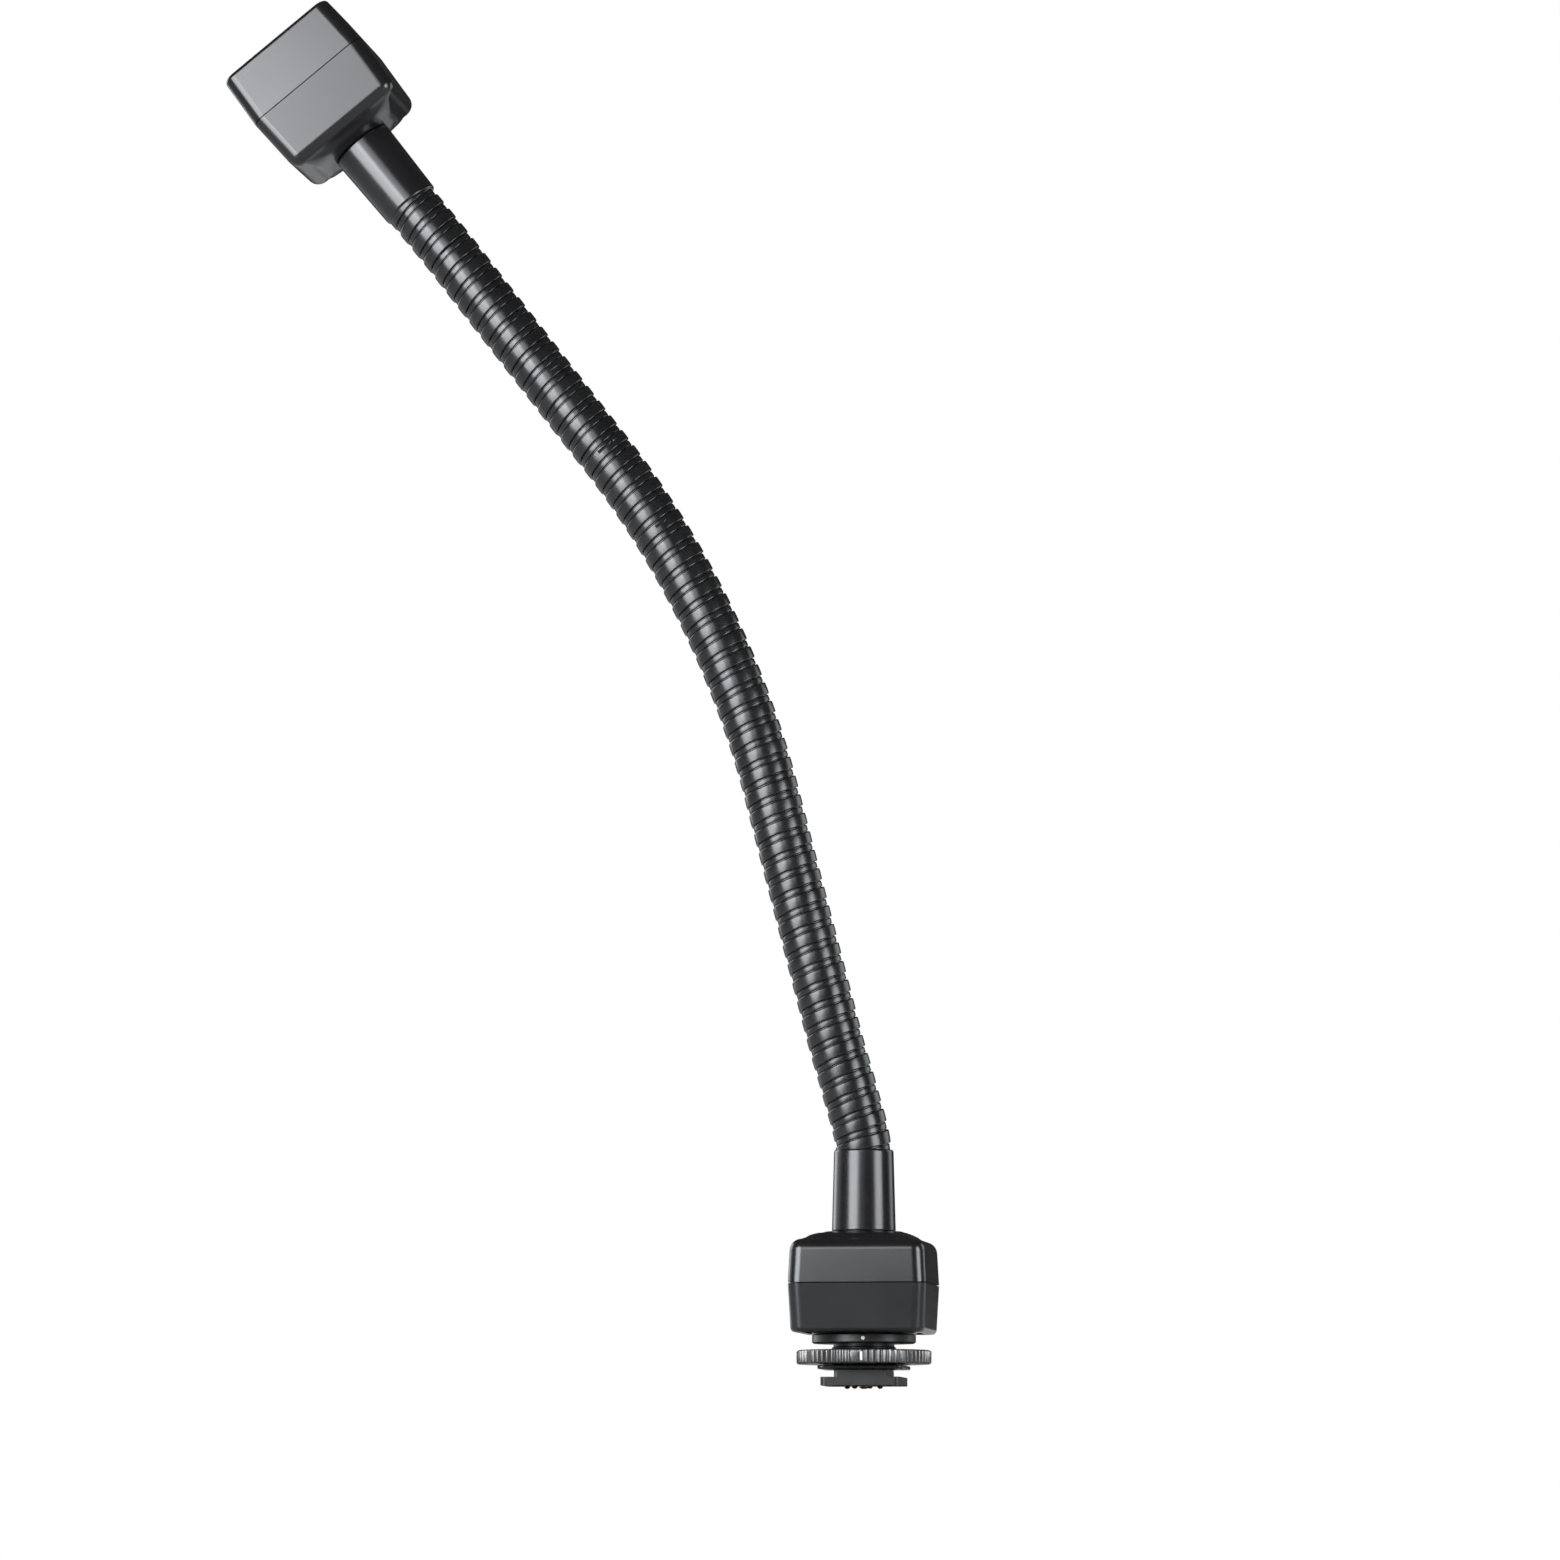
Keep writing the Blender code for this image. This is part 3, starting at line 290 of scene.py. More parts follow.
def fit(piece, unit, body, slot, look, *nodes):
    """Smooths a finished piece, turns it to its place and hangs it on its body."""
    take(piece)
    bpy.ops.object.shade_smooth_by_angle(angle=32 * DEGREE)
    modify(piece, "WEIGHTED_NORMAL", keep_sharp=True, weight=60)
    piece.matrix_world = unit
    bpy.ops.object.transform_apply(location=True, rotation=True, scale=True)
    piece.data.materials.clear()
    piece.data.materials.append(look)
    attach(piece, body)
    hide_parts(*nodes)
    return piece


# Finishes


class Finish:
    """A surface finish built from nodes on the piece's own coordinates."""

    def __init__(self, name):
        self.material = bpy.data.materials.new(name)
        self.material.use_nodes = True
        self.nodes = self.material.node_tree.nodes
        self.links = self.material.node_tree.links
        self.shader = self.nodes["Principled BSDF"]
        self.place = self.nodes.new("ShaderNodeTexCoord").outputs["Object"]

    def noise(self, scale, detail=3.0, stretch=None):
        """Mottling of so many spots to the metre, stretched along an axis if asked."""
        where = self.place
        if stretch:
            mapping = self.nodes.new("ShaderNodeMapping")
            mapping.inputs["Scale"].default_value = stretch
            self.links.new(where, mapping.inputs["Vector"])
            where = mapping.outputs["Vector"]
        made = self.nodes.new("ShaderNodeTexNoise")
        made.inputs["Scale"].default_value = scale
        made.inputs["Detail"].default_value = detail
        self.links.new(where, made.inputs["Vector"])
        return made.outputs["Fac"]

    def spread(self, value, low, high, bottom=0.3, top=0.7):
        """Turns a mottling into values from low to high."""
        made = self.nodes.new("ShaderNodeMapRange")
        made.inputs["From Min"].default_value = bottom
        made.inputs["From Max"].default_value = top
        made.inputs["To Min"].default_value = low
        made.inputs["To Max"].default_value = high
        self.links.new(value, made.inputs["Value"])
        return made.outputs["Result"]

    def blend(self, value, first, second):
        """Mixes two colours by a mottling."""
        made = self.nodes.new("ShaderNodeMix")
        made.data_type = "RGBA"
        made.inputs["A"].default_value = (*first, 1.0)
        made.inputs["B"].default_value = (*second, 1.0)
        self.links.new(value, made.inputs["Factor"])
        return made.outputs["Result"]

    def raise_grain(self, heights, depths):
        """Bumps one over the other, each of its own depth in metres."""
        normal = None
        for height, depth in zip(heights, depths):
            made = self.nodes.new("ShaderNodeBump")
            made.inputs["Distance"].default_value = depth
            self.links.new(height, made.inputs["Height"])
            if normal:
                self.links.new(normal, made.inputs["Normal"])
            normal = made.outputs["Normal"]
        self.links.new(normal, self.shader.inputs["Normal"])


def finish(name, colours, roughness, grain, depth, metallic=0.0, stretch=None, handling=90, ior=1.5):
    """A finish with colour and gloss that vary, a fine grain and soft smudges of handling."""
    made = Finish(name)
    fine = made.noise(grain, 4.0, stretch)
    broad = made.noise(handling, 5.0)
    made.links.new(made.blend(made.spread(broad, 0, 1), *colours), made.shader.inputs["Base Color"])
    mixed = made.nodes.new("ShaderNodeMath")
    mixed.operation = "ADD"
    made.links.new(made.spread(fine, 0, (roughness[1] - roughness[0]) / 2), mixed.inputs[0])
    made.links.new(
        made.spread(broad, roughness[0], (roughness[0] + roughness[1]) / 2), mixed.inputs[1]
    )
    made.links.new(mixed.outputs["Value"], made.shader.inputs["Roughness"])
    made.shader.inputs["Metallic"].default_value = metallic
    made.shader.inputs["IOR"].default_value = ior
    made.raise_grain((broad, fine), (depth * 3, depth))
    return made.material


def looks_of_the_bracket():
    return {
        "shell": finish(
            "gloss_black_moulding",
            ((0.0085, 0.0085, 0.009), (0.0115, 0.0115, 0.012)),
            (0.20, 0.27),
            2600,
            0.0004 * MM,
            ior=1.6,
        ),
        "sleeve": finish(
            "black_lacquered_sleeve",
            ((0.008, 0.008, 0.0085), (0.011, 0.011, 0.0115)),
            (0.19, 0.26),
            2200,
            0.0004 * MM,
            ior=1.6,
        ),
        "arm": finish(
            "black_coated_arm",
            ((0.008, 0.008, 0.0085), (0.0125, 0.0125, 0.013)),
            (0.21, 0.30),
            1800,
            0.0006 * MM,
            handling=160,
            ior=1.6,
        ),
        "foot": finish(
            "black_moulded_foot",
            ((0.013, 0.013, 0.0135), (0.018, 0.018, 0.018)),
            (0.30, 0.42),
            2400,
            0.0015 * MM,
        ),
        "ring": finish(
            "black_anodised_ring",
            ((0.016, 0.016, 0.017), (0.022, 0.022, 0.022)),
            (0.24, 0.34),
            2600,
            0.001 * MM,
            ior=2.0,
        ),
        "washer": finish(
            "black_plated_washer",
            ((0.030, 0.030, 0.031), (0.045, 0.045, 0.045)),
            (0.22, 0.34),
            1900,
            0.0008 * MM,
            metallic=0.6,
        ),
        "steel": finish(
            "blackened_steel",
            ((0.10, 0.10, 0.105), (0.17, 0.17, 0.17)),
            (0.30, 0.46),
            1700,
            0.004 * MM,
            metallic=1.0,
        ),
        "bright": finish(
            "rolled_bright_steel",
            ((0.56, 0.56, 0.57), (0.66, 0.66, 0.66)),
            (0.20, 0.34),
            420,
            0.0025 * MM,
            metallic=1.0,
            stretch=(12.0, 1.0, 12.0),
        ),
        "brass": finish(
            "gold_plated_contact",
            ((0.83, 0.60, 0.24), (0.88, 0.67, 0.32)),
            (0.16, 0.30),
            2400,
            0.0015 * MM,
            metallic=1.0,
        ),
        "board": finish(
            "green_lacquered_board",
            ((0.012, 0.085, 0.032), (0.020, 0.125, 0.050)),
            (0.28, 0.42),
            900,
            0.01 * MM,
        ),
        "cable": finish(
            "grey_cable_jacket",
            ((0.040, 0.040, 0.042), (0.060, 0.060, 0.060)),
            (0.45, 0.6),
            900,
            0.01 * MM,
        ),
        # White paint for painted highlights: glints painted as a line on the locking ring and a dot on
        # the collar.
        "highlight_paint": finish(
            "white_painted_highlight",
            ((0.70, 0.70, 0.69), (0.80, 0.80, 0.79)),
            (0.4, 0.5),
            2000,
            0.003 * MM,
        ),
    }


# Housings


def inset_at(parting, height):
    """How far a housing's wall leans in at a height."""
    return abs(parting - height) * HOUSING_DRAFT


def tapered_block(name, parting, low, high):
    """A block that leans in from the parting line, with round uprights."""
    half_x, half_y = HOUSING_WIDTH / 2, HOUSING_DEPTH / 2
    piece = box(name, (-half_x, -half_y, low), (half_x, half_y, high))
    open_mesh(piece)
    for height, up in ((low, -1), (high, 1)):
        pick("FACE", facing(height, up))
        lean = inset_at(parting, height)
        bpy.ops.transform.resize(
            value=(1 - lean / half_x, 1 - lean / half_y, 1), center_override=(0, 0, height)
        )
    pick("EDGE", upright)
    bpy.ops.mesh.bevel(offset=HOUSING_CORNER, segments=8, affect="EDGES")
    close_mesh()
    return piece


def hollow(parting, mouth, end, up):
    """Hollows the open block from its mouth to an inner end."""
    pick("FACE", facing(mouth, up))
    bpy.ops.mesh.inset(thickness=HOUSING_WALL)
    bpy.ops.mesh.extrude_region_move(TRANSFORM_OT_translate={"value": (0, 0, end - mouth)})
    inside = HOUSING_WIDTH / 2 - HOUSING_WALL
    share = 1 - inset_at(parting, end) / inside
    bpy.ops.transform.resize(value=(share, share, 1), center_override=(0, 0, end))


def corner_places(inset, diagonal, side):
    """Two corners of a housing. Side is -1 for the front and 1 for the rear, as seen at +X."""
    x, y = HOUSING_WIDTH / 2 - inset, HOUSING_DEPTH / 2 - inset
    return [(x, side * y), (-x, -side * y if diagonal else side * y)]


def sleeve_shell(prefix, parting, diagonal):
    """The shell with the low dome that the sleeve stands on."""
    end = parting - PARTING_GAP / 2
    shell = tapered_block(f"{prefix}_sleeve_shell", parting, DOME_RISE, end)
    open_mesh(shell)
    pick("EDGE", at_height(DOME_RISE))
    bpy.ops.mesh.bevel(offset=DOME_EDGE, segments=6, affect="EDGES")
    pick("FACE", facing(DOME_RISE, -1))
    bpy.ops.mesh.delete(type="FACE")
    pick("EDGE", lambda edge: edge.is_boundary)
    rim = sum(v.select for v in bmesh.from_edit_mesh(shell.data).verts)
    bpy.ops.mesh.primitive_circle_add(
        vertices=rim, radius=DOME_SEAT, location=(0, 0, 0), rotation=(0, 0, TURN / rim / 2)
    )
    pick("EDGE", lambda edge: edge.is_boundary or edge.is_wire)
    bpy.ops.mesh.bridge_edge_loops(number_cuts=5)
    for ring in range(1, 6):
        height = DOME_RISE * (1 - ring / 6)
        pick("VERT", lambda v: abs(v.co.z - height) < SMALL and v.co.xy.length > DOME_SEAT)
        swell = DOME_SWELL * 4 * (ring / 6) * (1 - ring / 6)
        bpy.ops.transform.translate(value=(0, 0, -swell))
    pick("EDGE", at_height(0))
    bpy.ops.mesh.edge_face_add()
    hollow(parting, end, CEILING, 1)
    weld()
    close_mesh()
    bosses = [rod("boss", 2.6 * MM, CEILING - OVERRUN, end, place)
              for place in corner_places(SCREW_INSET, diagonal, -1)]
    cut(shell, *bosses, operation="UNION")
    cut(shell, rod("tail_hole", 5.3 * MM, -OVERRUN, CEILING + OVERRUN))
    return shell


def cover_shell(prefix, parting, height, floor, diagonal):
    """The shell at the shoe's end, with the screws sunk in its face."""
    start = parting + PARTING_GAP / 2
    shell = tapered_block(f"{prefix}_cover", parting, start, height)
    open_mesh(shell)
    pick("EDGE", at_height(height))
    bpy.ops.mesh.bevel(offset=COVER_EDGE, segments=5, affect="EDGES")
    hollow(parting, start, floor, -1)
    weld()
    close_mesh()
    places = corner_places(SCREW_INSET, diagonal, -1)
    posts = corner_places(POST_INSET, diagonal, 1)
    cut(
        shell,
        *(rod("boss", 2.6 * MM, start, floor + OVERRUN, place) for place in places),
        *(rod("post", 1.5 * MM, floor - 3.6 * MM, floor + OVERRUN, place) for place in posts),
        operation="UNION",
    )
    cut(
        shell,
        *(rod("hole", 1.3 * MM, start - OVERRUN, height + OVERRUN, place) for place in places),
        *(rod("sink", 2.2 * MM, height - 1.6 * MM, height + OVERRUN, place) for place in places),
    )
    return shell


def housing_screw(name, parting, height):
    """A pan-head screw with a cross recess, seated in its sink."""
    seat = height - 1.4 * MM
    tip = parting - 6.0 * MM
    profile = [(0, tip), (0.5 * MM, tip), (0.95 * MM, tip + 1.0 * MM)]
    thread = tip + 1.0 * MM
    while thread + 0.7 * MM < seat - 2.0 * MM:
        profile += [(0.72 * MM, thread + 0.2 * MM), (1.0 * MM, thread + 0.4 * MM)]
        thread += 0.5 * MM
    profile += [
        (1.0 * MM, seat),
        (1.9 * MM, seat),
        (1.9 * MM, seat + 0.55 * MM),
        (1.72 * MM, seat + 0.9 * MM),
        (1.3 * MM, seat + 1.1 * MM),
        (0, seat + 1.2 * MM),
    ]
    screw = turned(name, profile, 32, closed=False)
    for across in ((1.1, 0.26), (0.26, 1.1)):
        x, y = across[0] * MM, across[1] * MM
        cut(screw, box("recess", (-x, -y, seat + 0.5 * MM), (x, y, seat + 2 * MM)))
    ease(screw, 0.06 * MM, 1, 50)
    return screw


def sleeve(name):
    """The smooth tapered sleeve between a housing and the arm, with its threaded tail."""
    base, mouth = -SEAT_GAP, -SEAT_GAP - SLEEVE_LENGTH
    profile = (
        (5.75 * MM, mouth + 0.5 * MM),
        (6.0 * MM, mouth + 0.1 * MM),
        (6.2 * MM, mouth),
        (6.45 * MM, mouth),
        (6.72 * MM, mouth + 0.1 * MM),
        (6.88 * MM, mouth + 0.3 * MM),
        (6.95 * MM, mouth + 0.6 * MM),
        (7.43 * MM, base - 0.35 * MM),
        (7.40 * MM, base - 0.12 * MM),
        (7.25 * MM, base),
        (5.0 * MM, base),
        (5.0 * MM, 8.0 * MM),
        (3.2 * MM, 8.0 * MM),
        (3.2 * MM, mouth + 10.5 * MM),
        (5.75 * MM, mouth + 10.5 * MM),
    )
    return turned(name, profile, 72)


def housing(prefix, unit, body, parting, height, floor, diagonal, looks):
    """The parts that both ends of the bracket share."""
    dome = sleeve_shell(prefix, parting, diagonal)
    ease(dome, 0.12 * MM)
    fit(dome, unit, body, "shell", looks["shell"], f"{prefix}_ferrule_shell")
    cover = cover_shell(prefix, parting, height, floor, diagonal)
    screw = housing_screw(f"{prefix}_housing_screw_1", parting, height)
    places = corner_places(SCREW_INSET, diagonal, -1)
    screws = [screw, copy_of(screw, f"{prefix}_housing_screw_2")]
    for number, (piece, place) in enumerate(zip(screws, places), 1):
        move(piece, (*place, 0))
        fit(piece, unit, body, "steel", looks["steel"], f"{prefix}_screw_{number}")
    tube = sleeve(f"{prefix}_sleeve")
    fit(tube, unit, body, "sleeve", looks["sleeve"], f"{prefix}_ferrule")
    return cover


# Foot, ring and washer


def rounded_plate(name, half_x, half_y, low, high, corner, segments=6):
    plate = box(name, (-half_x, -half_y, low), (half_x, half_y, high))
    open_mesh(plate)
    pick("EDGE", upright)
    bpy.ops.mesh.bevel(offset=corner, segments=segments, affect="EDGES")
    close_mesh()
    return plate


def contact_places():
    """The middle contact and the four round its front."""
    angles = (-10 * DEGREE, -63 * DEGREE, -117 * DEGREE, -170 * DEGREE)
    radius = 3.9 * MM
    return [(0, 0)] + [(radius * math.cos(a), radius * math.sin(a)) for a in angles]


def shoe_foot(looks):
    """The foot: plate, neck, threaded stem and the collar under the housing."""
    foot = rounded_plate("foot", 9.3 * MM, 9.0 * MM, 0, 2.0 * MM, 1.2 * MM)
    neck = rounded_plate("neck", 6.15 * MM, 8.5 * MM, 1.0 * MM, 3.6 * MM, 0.8 * MM)
    profile = [(0, 2.0 * MM), (5.8 * MM, 2.0 * MM), (5.8 * MM, 3.6 * MM), (7.1 * MM, 3.6 * MM)]
    height = 3.9 * MM
    while height < 9.4 * MM:
        profile += [(7.5 * MM, height), (7.5 * MM, height + 0.12 * MM)]
        profile += [(7.1 * MM, height + 0.4 * MM), (7.1 * MM, height + 0.5 * MM)]
        height += 0.8 * MM
    profile += [
        (7.1 * MM, 9.8 * MM),
        (11.7 * MM, 9.8 * MM),
        (12.1 * MM, 10.1 * MM),
        (12.1 * MM, 11.7 * MM),
        (11.8 * MM, 12.0 * MM),
        (7.5 * MM, 12.0 * MM),
        (7.5 * MM, 17.1 * MM),
        (5.8 * MM, 17.1 * MM),
        (5.8 * MM, 5.4 * MM),
        (5.2 * MM, 5.4 * MM),
        (5.2 * MM, 3.0 * MM),
        (0, 3.0 * MM),
    ]
    stem = turned("stem", profile, 72, closed=False)
    cut(foot, neck, stem, operation="UNION")
    holes = [
        rod("contact_hole", (1.4 if number == 0 else 0.95) * MM, -OVERRUN, 3.0 * MM + OVERRUN, place)
        for number, place in enumerate(contact_places())
    ]
    cut(foot, *holes)
    ease(foot, 0.15 * MM)
    return fit(foot, UPRIGHT, "base", "foot", looks["foot"], "shoe_foot")


def clamp_washer(looks):
    washer = rounded_plate("washer", 10.0 * MM, 9.5 * MM, 3.8 * MM, 4.7 * MM, 1.5 * MM)
    cut(washer, rod("bore", 7.8 * MM, 3.8 * MM - OVERRUN, 4.7 * MM + OVERRUN, sides=72))
    ease(washer, 0.25 * MM, 3)
    return fit(washer, UPRIGHT, "washer", "steel", looks["washer"], "clamp_washer")


def locking_ring(looks):
    """The knurled ring: groups of round-bottomed grooves with plain lands between them."""
    groups, per_group, columns_each = 8, 8, 6
    slots = per_group + 1
    columns = groups * slots * columns_each
    rim = 15.7 * MM
    profile = (
        (7.8 * MM, 5.0 * MM),
        (15.2 * MM, 5.0 * MM),
        (15.55 * MM, 5.15 * MM),
        (rim, 5.45 * MM),
        (rim, 7.8 * MM),
        (15.5 * MM, 8.15 * MM),
        (15.1 * MM, 8.3 * MM),
        (10.6 * MM, 8.3 * MM),
        (10.4 * MM, 8.1 * MM),
        (7.8 * MM, 8.1 * MM),
    )
    ring = turned("knurled_ring", profile, columns)
    depths = {1: 0.24 * MM, 2: 0.42 * MM, 3: 0.45 * MM, 4: 0.42 * MM, 5: 0.24 * MM}
    open_mesh(ring)
    for column, depth in depths.items():

        def in_groove(v):
            step = round((math.atan2(v.co.y, v.co.x) % TURN) / TURN * columns) % columns
            slot, place = divmod(step, columns_each)
            return v.co.xy.length > 14.9 * MM and place == column and slot % slots < per_group

        pick("VERT", in_groove)
        share = 1 - depth / rim
        bpy.ops.transform.resize(value=(share, share, 1), center_override=(0, 0, 0))
    close_mesh()
    return fit(ring, UPRIGHT, "ring", "ring", looks["ring"], "locking_ring")


def painted_highlight_spots(looks):
    """White spots that paint highlights on the ring and the collar: a line and a dot."""
    # Painted highlight: a thin white line on the ring's front land.
    line = box("ring_highlight_spot", (0.9 * MM, -15.74 * MM, 5.6 * MM), (1.4 * MM, -15.45 * MM, 7.7 * MM))
    ease(line, 0.03 * MM, 1)
    take(line)
    fit(line, UPRIGHT, "ring", "ring", looks["highlight_paint"])
    # Painted highlight: a small white dot on the collar's front.
    dot = rod("collar_highlight_spot", 0.45 * MM, 12.0 * MM, 12.14 * MM, sides=24)
    take(dot)
    dot.rotation_euler = (TURN / 4, 0, 0)
    bpy.ops.object.transform_apply(location=False, rotation=True, scale=False)
    move(dot, (1.1 * MM, 0, 10.9 * MM))
    ease(dot, 0.03 * MM, 1)
    fit(dot, UPRIGHT, "base", "foot", looks["highlight_paint"])


def foot_contacts(looks):
    """Domed spring contacts under the foot."""
    for number, (x, y) in enumerate(contact_places()):
        radius = (1.1 if number == 0 else 0.65) * MM
        profile = [(0, -0.7 * MM)]
        for step in range(1, 5):
            angle = TURN / 4 * step / 4
            profile.append((radius * math.sin(angle), (-0.7 + 0.4 * (1 - math.cos(angle))) * MM))
        profile += [
            (radius, 3.2 * MM),
            (radius + 0.3 * MM, 3.2 * MM),
            (radius + 0.3 * MM, 3.8 * MM),
            (0.4 * MM, 3.8 * MM),
            (0.4 * MM, 7.2 * MM),
            (0, 7.2 * MM),
        ]
        pin = turned(f"foot_pin_{number + 1}", profile, 32, closed=False)
        move(pin, (x, y, 0))
        name = f"contact_{number + 1}"
        fit(pin, UPRIGHT, name, "brass", looks["brass"], f"foot_{name}")


# Arm


def arm_route():
    """The arm's joints and their places, from the camera's end up."""
    joints = [j for j in frame["joints"] if "bend" in j["name"]]
    joints.sort(key=lambda j: j["pos_m"][2])
    return joints, [Vector(j["pos_m"]) for j in joints]


def laid_line(points):
    """A smooth line through points, for pieces to be bent along."""
    bpy.ops.object.select_all(action="DESELECT")
    bpy.ops.curve.primitive_bezier_curve_add(location=(0, 0, 0))
    line = bpy.context.active_object
    line.name = "arm_line"
    spline = line.data.splines[0]
    spline.bezier_points.add(len(points) - len(spline.bezier_points))
    for knot, place in zip(spline.bezier_points, points):
        knot.co = place
        knot.handle_left_type = knot.handle_right_type = "AUTO"
    line.data.resolution_u = 16
    return line


def wound_tube():
    """The arm before it is bent: a wide round strip and a narrow one, wound side by side."""
    profile = []
    for share, radius in (
        (0.000, 5.86),
        (0.010, 6.18),
        (0.022, 6.35),
        (0.042, 6.46),
        (0.070, 6.50),
        (0.320, 6.515),
        (0.560, 6.50),
        (0.590, 6.45),
        (0.612, 6.33),
        (0.628, 6.14),
        (0.640, 5.86),
        (0.668, 5.86),
        (0.674, 6.03),
        (0.692, 6.11),
        (0.725, 6.135),
        (0.820, 6.14),
        (0.915, 6.135),
        (0.948, 6.11),
        (0.966, 6.03),
        (0.972, 5.86),
        (1.000, 5.86),
    ):
        profile.append((radius * MM, 0, share * PITCH))
    bore = [(TUBE_BORE, 0, 0), (TUBE_BORE, 0, PITCH)]
    tube = drawn("wound_tube", [profile, bore], closed=False)
    return tube


def halves(piece, joint, along, hollow_piece):
    """Parts a bent stretch at its joint. The arm's lower half ends in a ball, the other in its seat."""
    name = piece.name
    piece.name = name.replace("stretch", "knuckle")
    upper = copy_of(piece, name)
    for half, keep_below in ((piece, True), (upper, False)):
        open_mesh(half)
        bpy.ops.mesh.select_all(action="SELECT")
        bpy.ops.mesh.bisect(
            plane_co=joint,
            plane_no=along,
            clear_inner=not keep_below,
            clear_outer=keep_below,
            use_fill=not hollow_piece,
        )
        if hollow_piece:
            pick("EDGE", lambda edge: all(
                abs((v.co - joint).dot(along)) < 0.001 * MM for v in edge.verts))
            bpy.ops.mesh.bridge_edge_loops()
        weld()
        close_mesh()
        radius = BALL_RADIUS if hollow_piece else 1.08 * CABLE_RADIUS
        turn = along.to_track_quat("Z", "Y").to_euler()
        bpy.ops.mesh.primitive_uv_sphere_add(
            segments=48,
            ring_count=32,
            radius=radius if keep_below else radius + 0.04 * MM,
            location=joint,
            rotation=turn,
        )
        ball = bpy.context.active_object
        bpy.ops.object.transform_apply(location=True, rotation=True, scale=False)
        if hollow_piece:
            bpy.ops.mesh.primitive_cylinder_add(
                vertices=32, radius=TUBE_BORE, depth=4 * radius, location=joint, rotation=turn
            )
            bore = bpy.context.active_object
            bpy.ops.object.transform_apply(location=True, rotation=True, scale=False)
            cut(ball, bore)
        cut(half, ball, operation="UNION" if keep_below else "DIFFERENCE")
    return piece, upper


def arm(looks):
    """The bendable arm: one stretch across each joint, bent along the arm's line."""
    joints, places = arm_route()
    names = ["base"] + [f"link_{n:02d}" for n in range(1, len(places))] + ["head"]
    up = UPPER_UNIT.to_3x3() @ Vector((0, 0, 1))
    lower_mouth = Vector((0, 0, SEAT_Z + SEAT_GAP + SLEEVE_LENGTH))
    upper_mouth = HEAD_SEAT - up * (SEAT_GAP + SLEEVE_LENGTH)
    start = lower_mouth - Vector((0, 0, TUCKED))
    end = upper_mouth + up * TUCKED
    line = laid_line([start, lower_mouth, *places[1:], upper_mouth, end])
    knots = [start, lower_mouth, *places, upper_mouth, end]
    lengths = [0.0]
    for a, b in zip(knots, knots[1:]):
        lengths.append(lengths[-1] + (b - a).length)
    whole = lengths[-1]
    tube = wound_tube()
    modify(
        tube,
        "SCREW",
        axis="Z",
        angle=TURN,
        screw_offset=PITCH,
        steps=TUBE_STEPS,
        render_steps=TUBE_STEPS,
        iterations=math.ceil(whole / PITCH) + 1,
        use_smooth_shade=True,
    )
    open_mesh(tube)
    weld()
    pick("VERT", lambda v: True)
    bpy.ops.transform.translate(value=(0, 0, -PITCH))
    close_mesh()
    core = rod("core", CABLE_RADIUS, 0, whole, sides=16)
    joint_lengths = lengths[2:-2]
    borders = [0.0] + [(a + b) / 2 for a, b in zip(joint_lengths, joint_lengths[1:])] + [whole]
    for number, (low, high) in enumerate(zip(borders, borders[1:])):
        below = (places[number] - (places[number - 1] if number else lower_mouth)).normalized()
        above = (
            (places[number + 1] if number + 1 < len(places) else upper_mouth) - places[number]
        ).normalized()
        for source, title, slot, node in (
            (tube, "arm_stretch", "arm", f"gooseneck_link_{number:02d}"),
            (core, "cable_stretch", "cable", "signal_cable"),
        ):
            piece = copy_of(source, f"{title}_{number + 1:02d}")
            open_mesh(piece)
            for height, keep_above in ((low, True), (high, False)):
                if 0 < height < whole or source is tube:
                    bpy.ops.mesh.select_all(action="SELECT")
                    bpy.ops.mesh.bisect(
                        plane_co=(0, 0, height),
                        plane_no=(0, 0, 1),
                        clear_inner=keep_above,
                        clear_outer=not keep_above,
                        use_fill=source is core,
                    )
                    if source is tube:
                        pick("EDGE", at_height(height, 0.001 * MM))
                        bpy.ops.mesh.bridge_edge_loops()
            weld()
            close_mesh()
            modify(piece, "CURVE", object=line, deform_axis="POS_Z")
            last = number == len(places) - 1
            parts = [piece]
            if last:
                parts = halves(piece, places[number], (below + above).normalized(), source is tube)
            for part, body in zip(parts, names[number:]):
                take(part)
                bpy.ops.object.shade_smooth_by_angle(angle=50 * DEGREE)
                modify(part, "WEIGHTED_NORMAL", keep_sharp=True, weight=60)
                part.data.materials.clear()
                part.data.materials.append(looks[slot])
                if number == 0 and source is tube:
                    node = "gooseneck_lower_end"
                elif body == "head" and source is tube:
                    node = "gooseneck_upper_end"
                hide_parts(node)
                if last:
                    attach(part, body)
                else:
                    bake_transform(part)
    for spare in (tube, core, line):
        bpy.data.objects.remove(spare)


# Socket at the head


def pocket_of(cover):
    """Cuts the pocket for the rails, the hole for the contact block and the screw holes."""
    half = SLOT_HALF + RAIL_SHEET + 0.3 * MM
    front = -SLOT_LENGTH / 2 - 0.3 * MM
    rear = HOUSING_DEPTH / 2 + OVERRUN
    pocket = box("pocket", (-half, front, POCKET_FLOOR), (half, rear, UPPER_HEIGHT + OVERRUN))
    cut(cover, pocket, rod("block_hole", 5.2 * MM, ROOF - OVERRUN, POCKET_FLOOR + OVERRUN))
    cut(
        cover,
        *(rod("rail_hole", 0.9 * MM, ROOF - OVERRUN, POCKET_FLOOR + OVERRUN, place)
          for place in rail_screw_places()),
    )


def rail_screw_places():
    return [(x * MM, y * MM) for x in (-7.0, 7.0) for y in (-6.6, 6.6)]


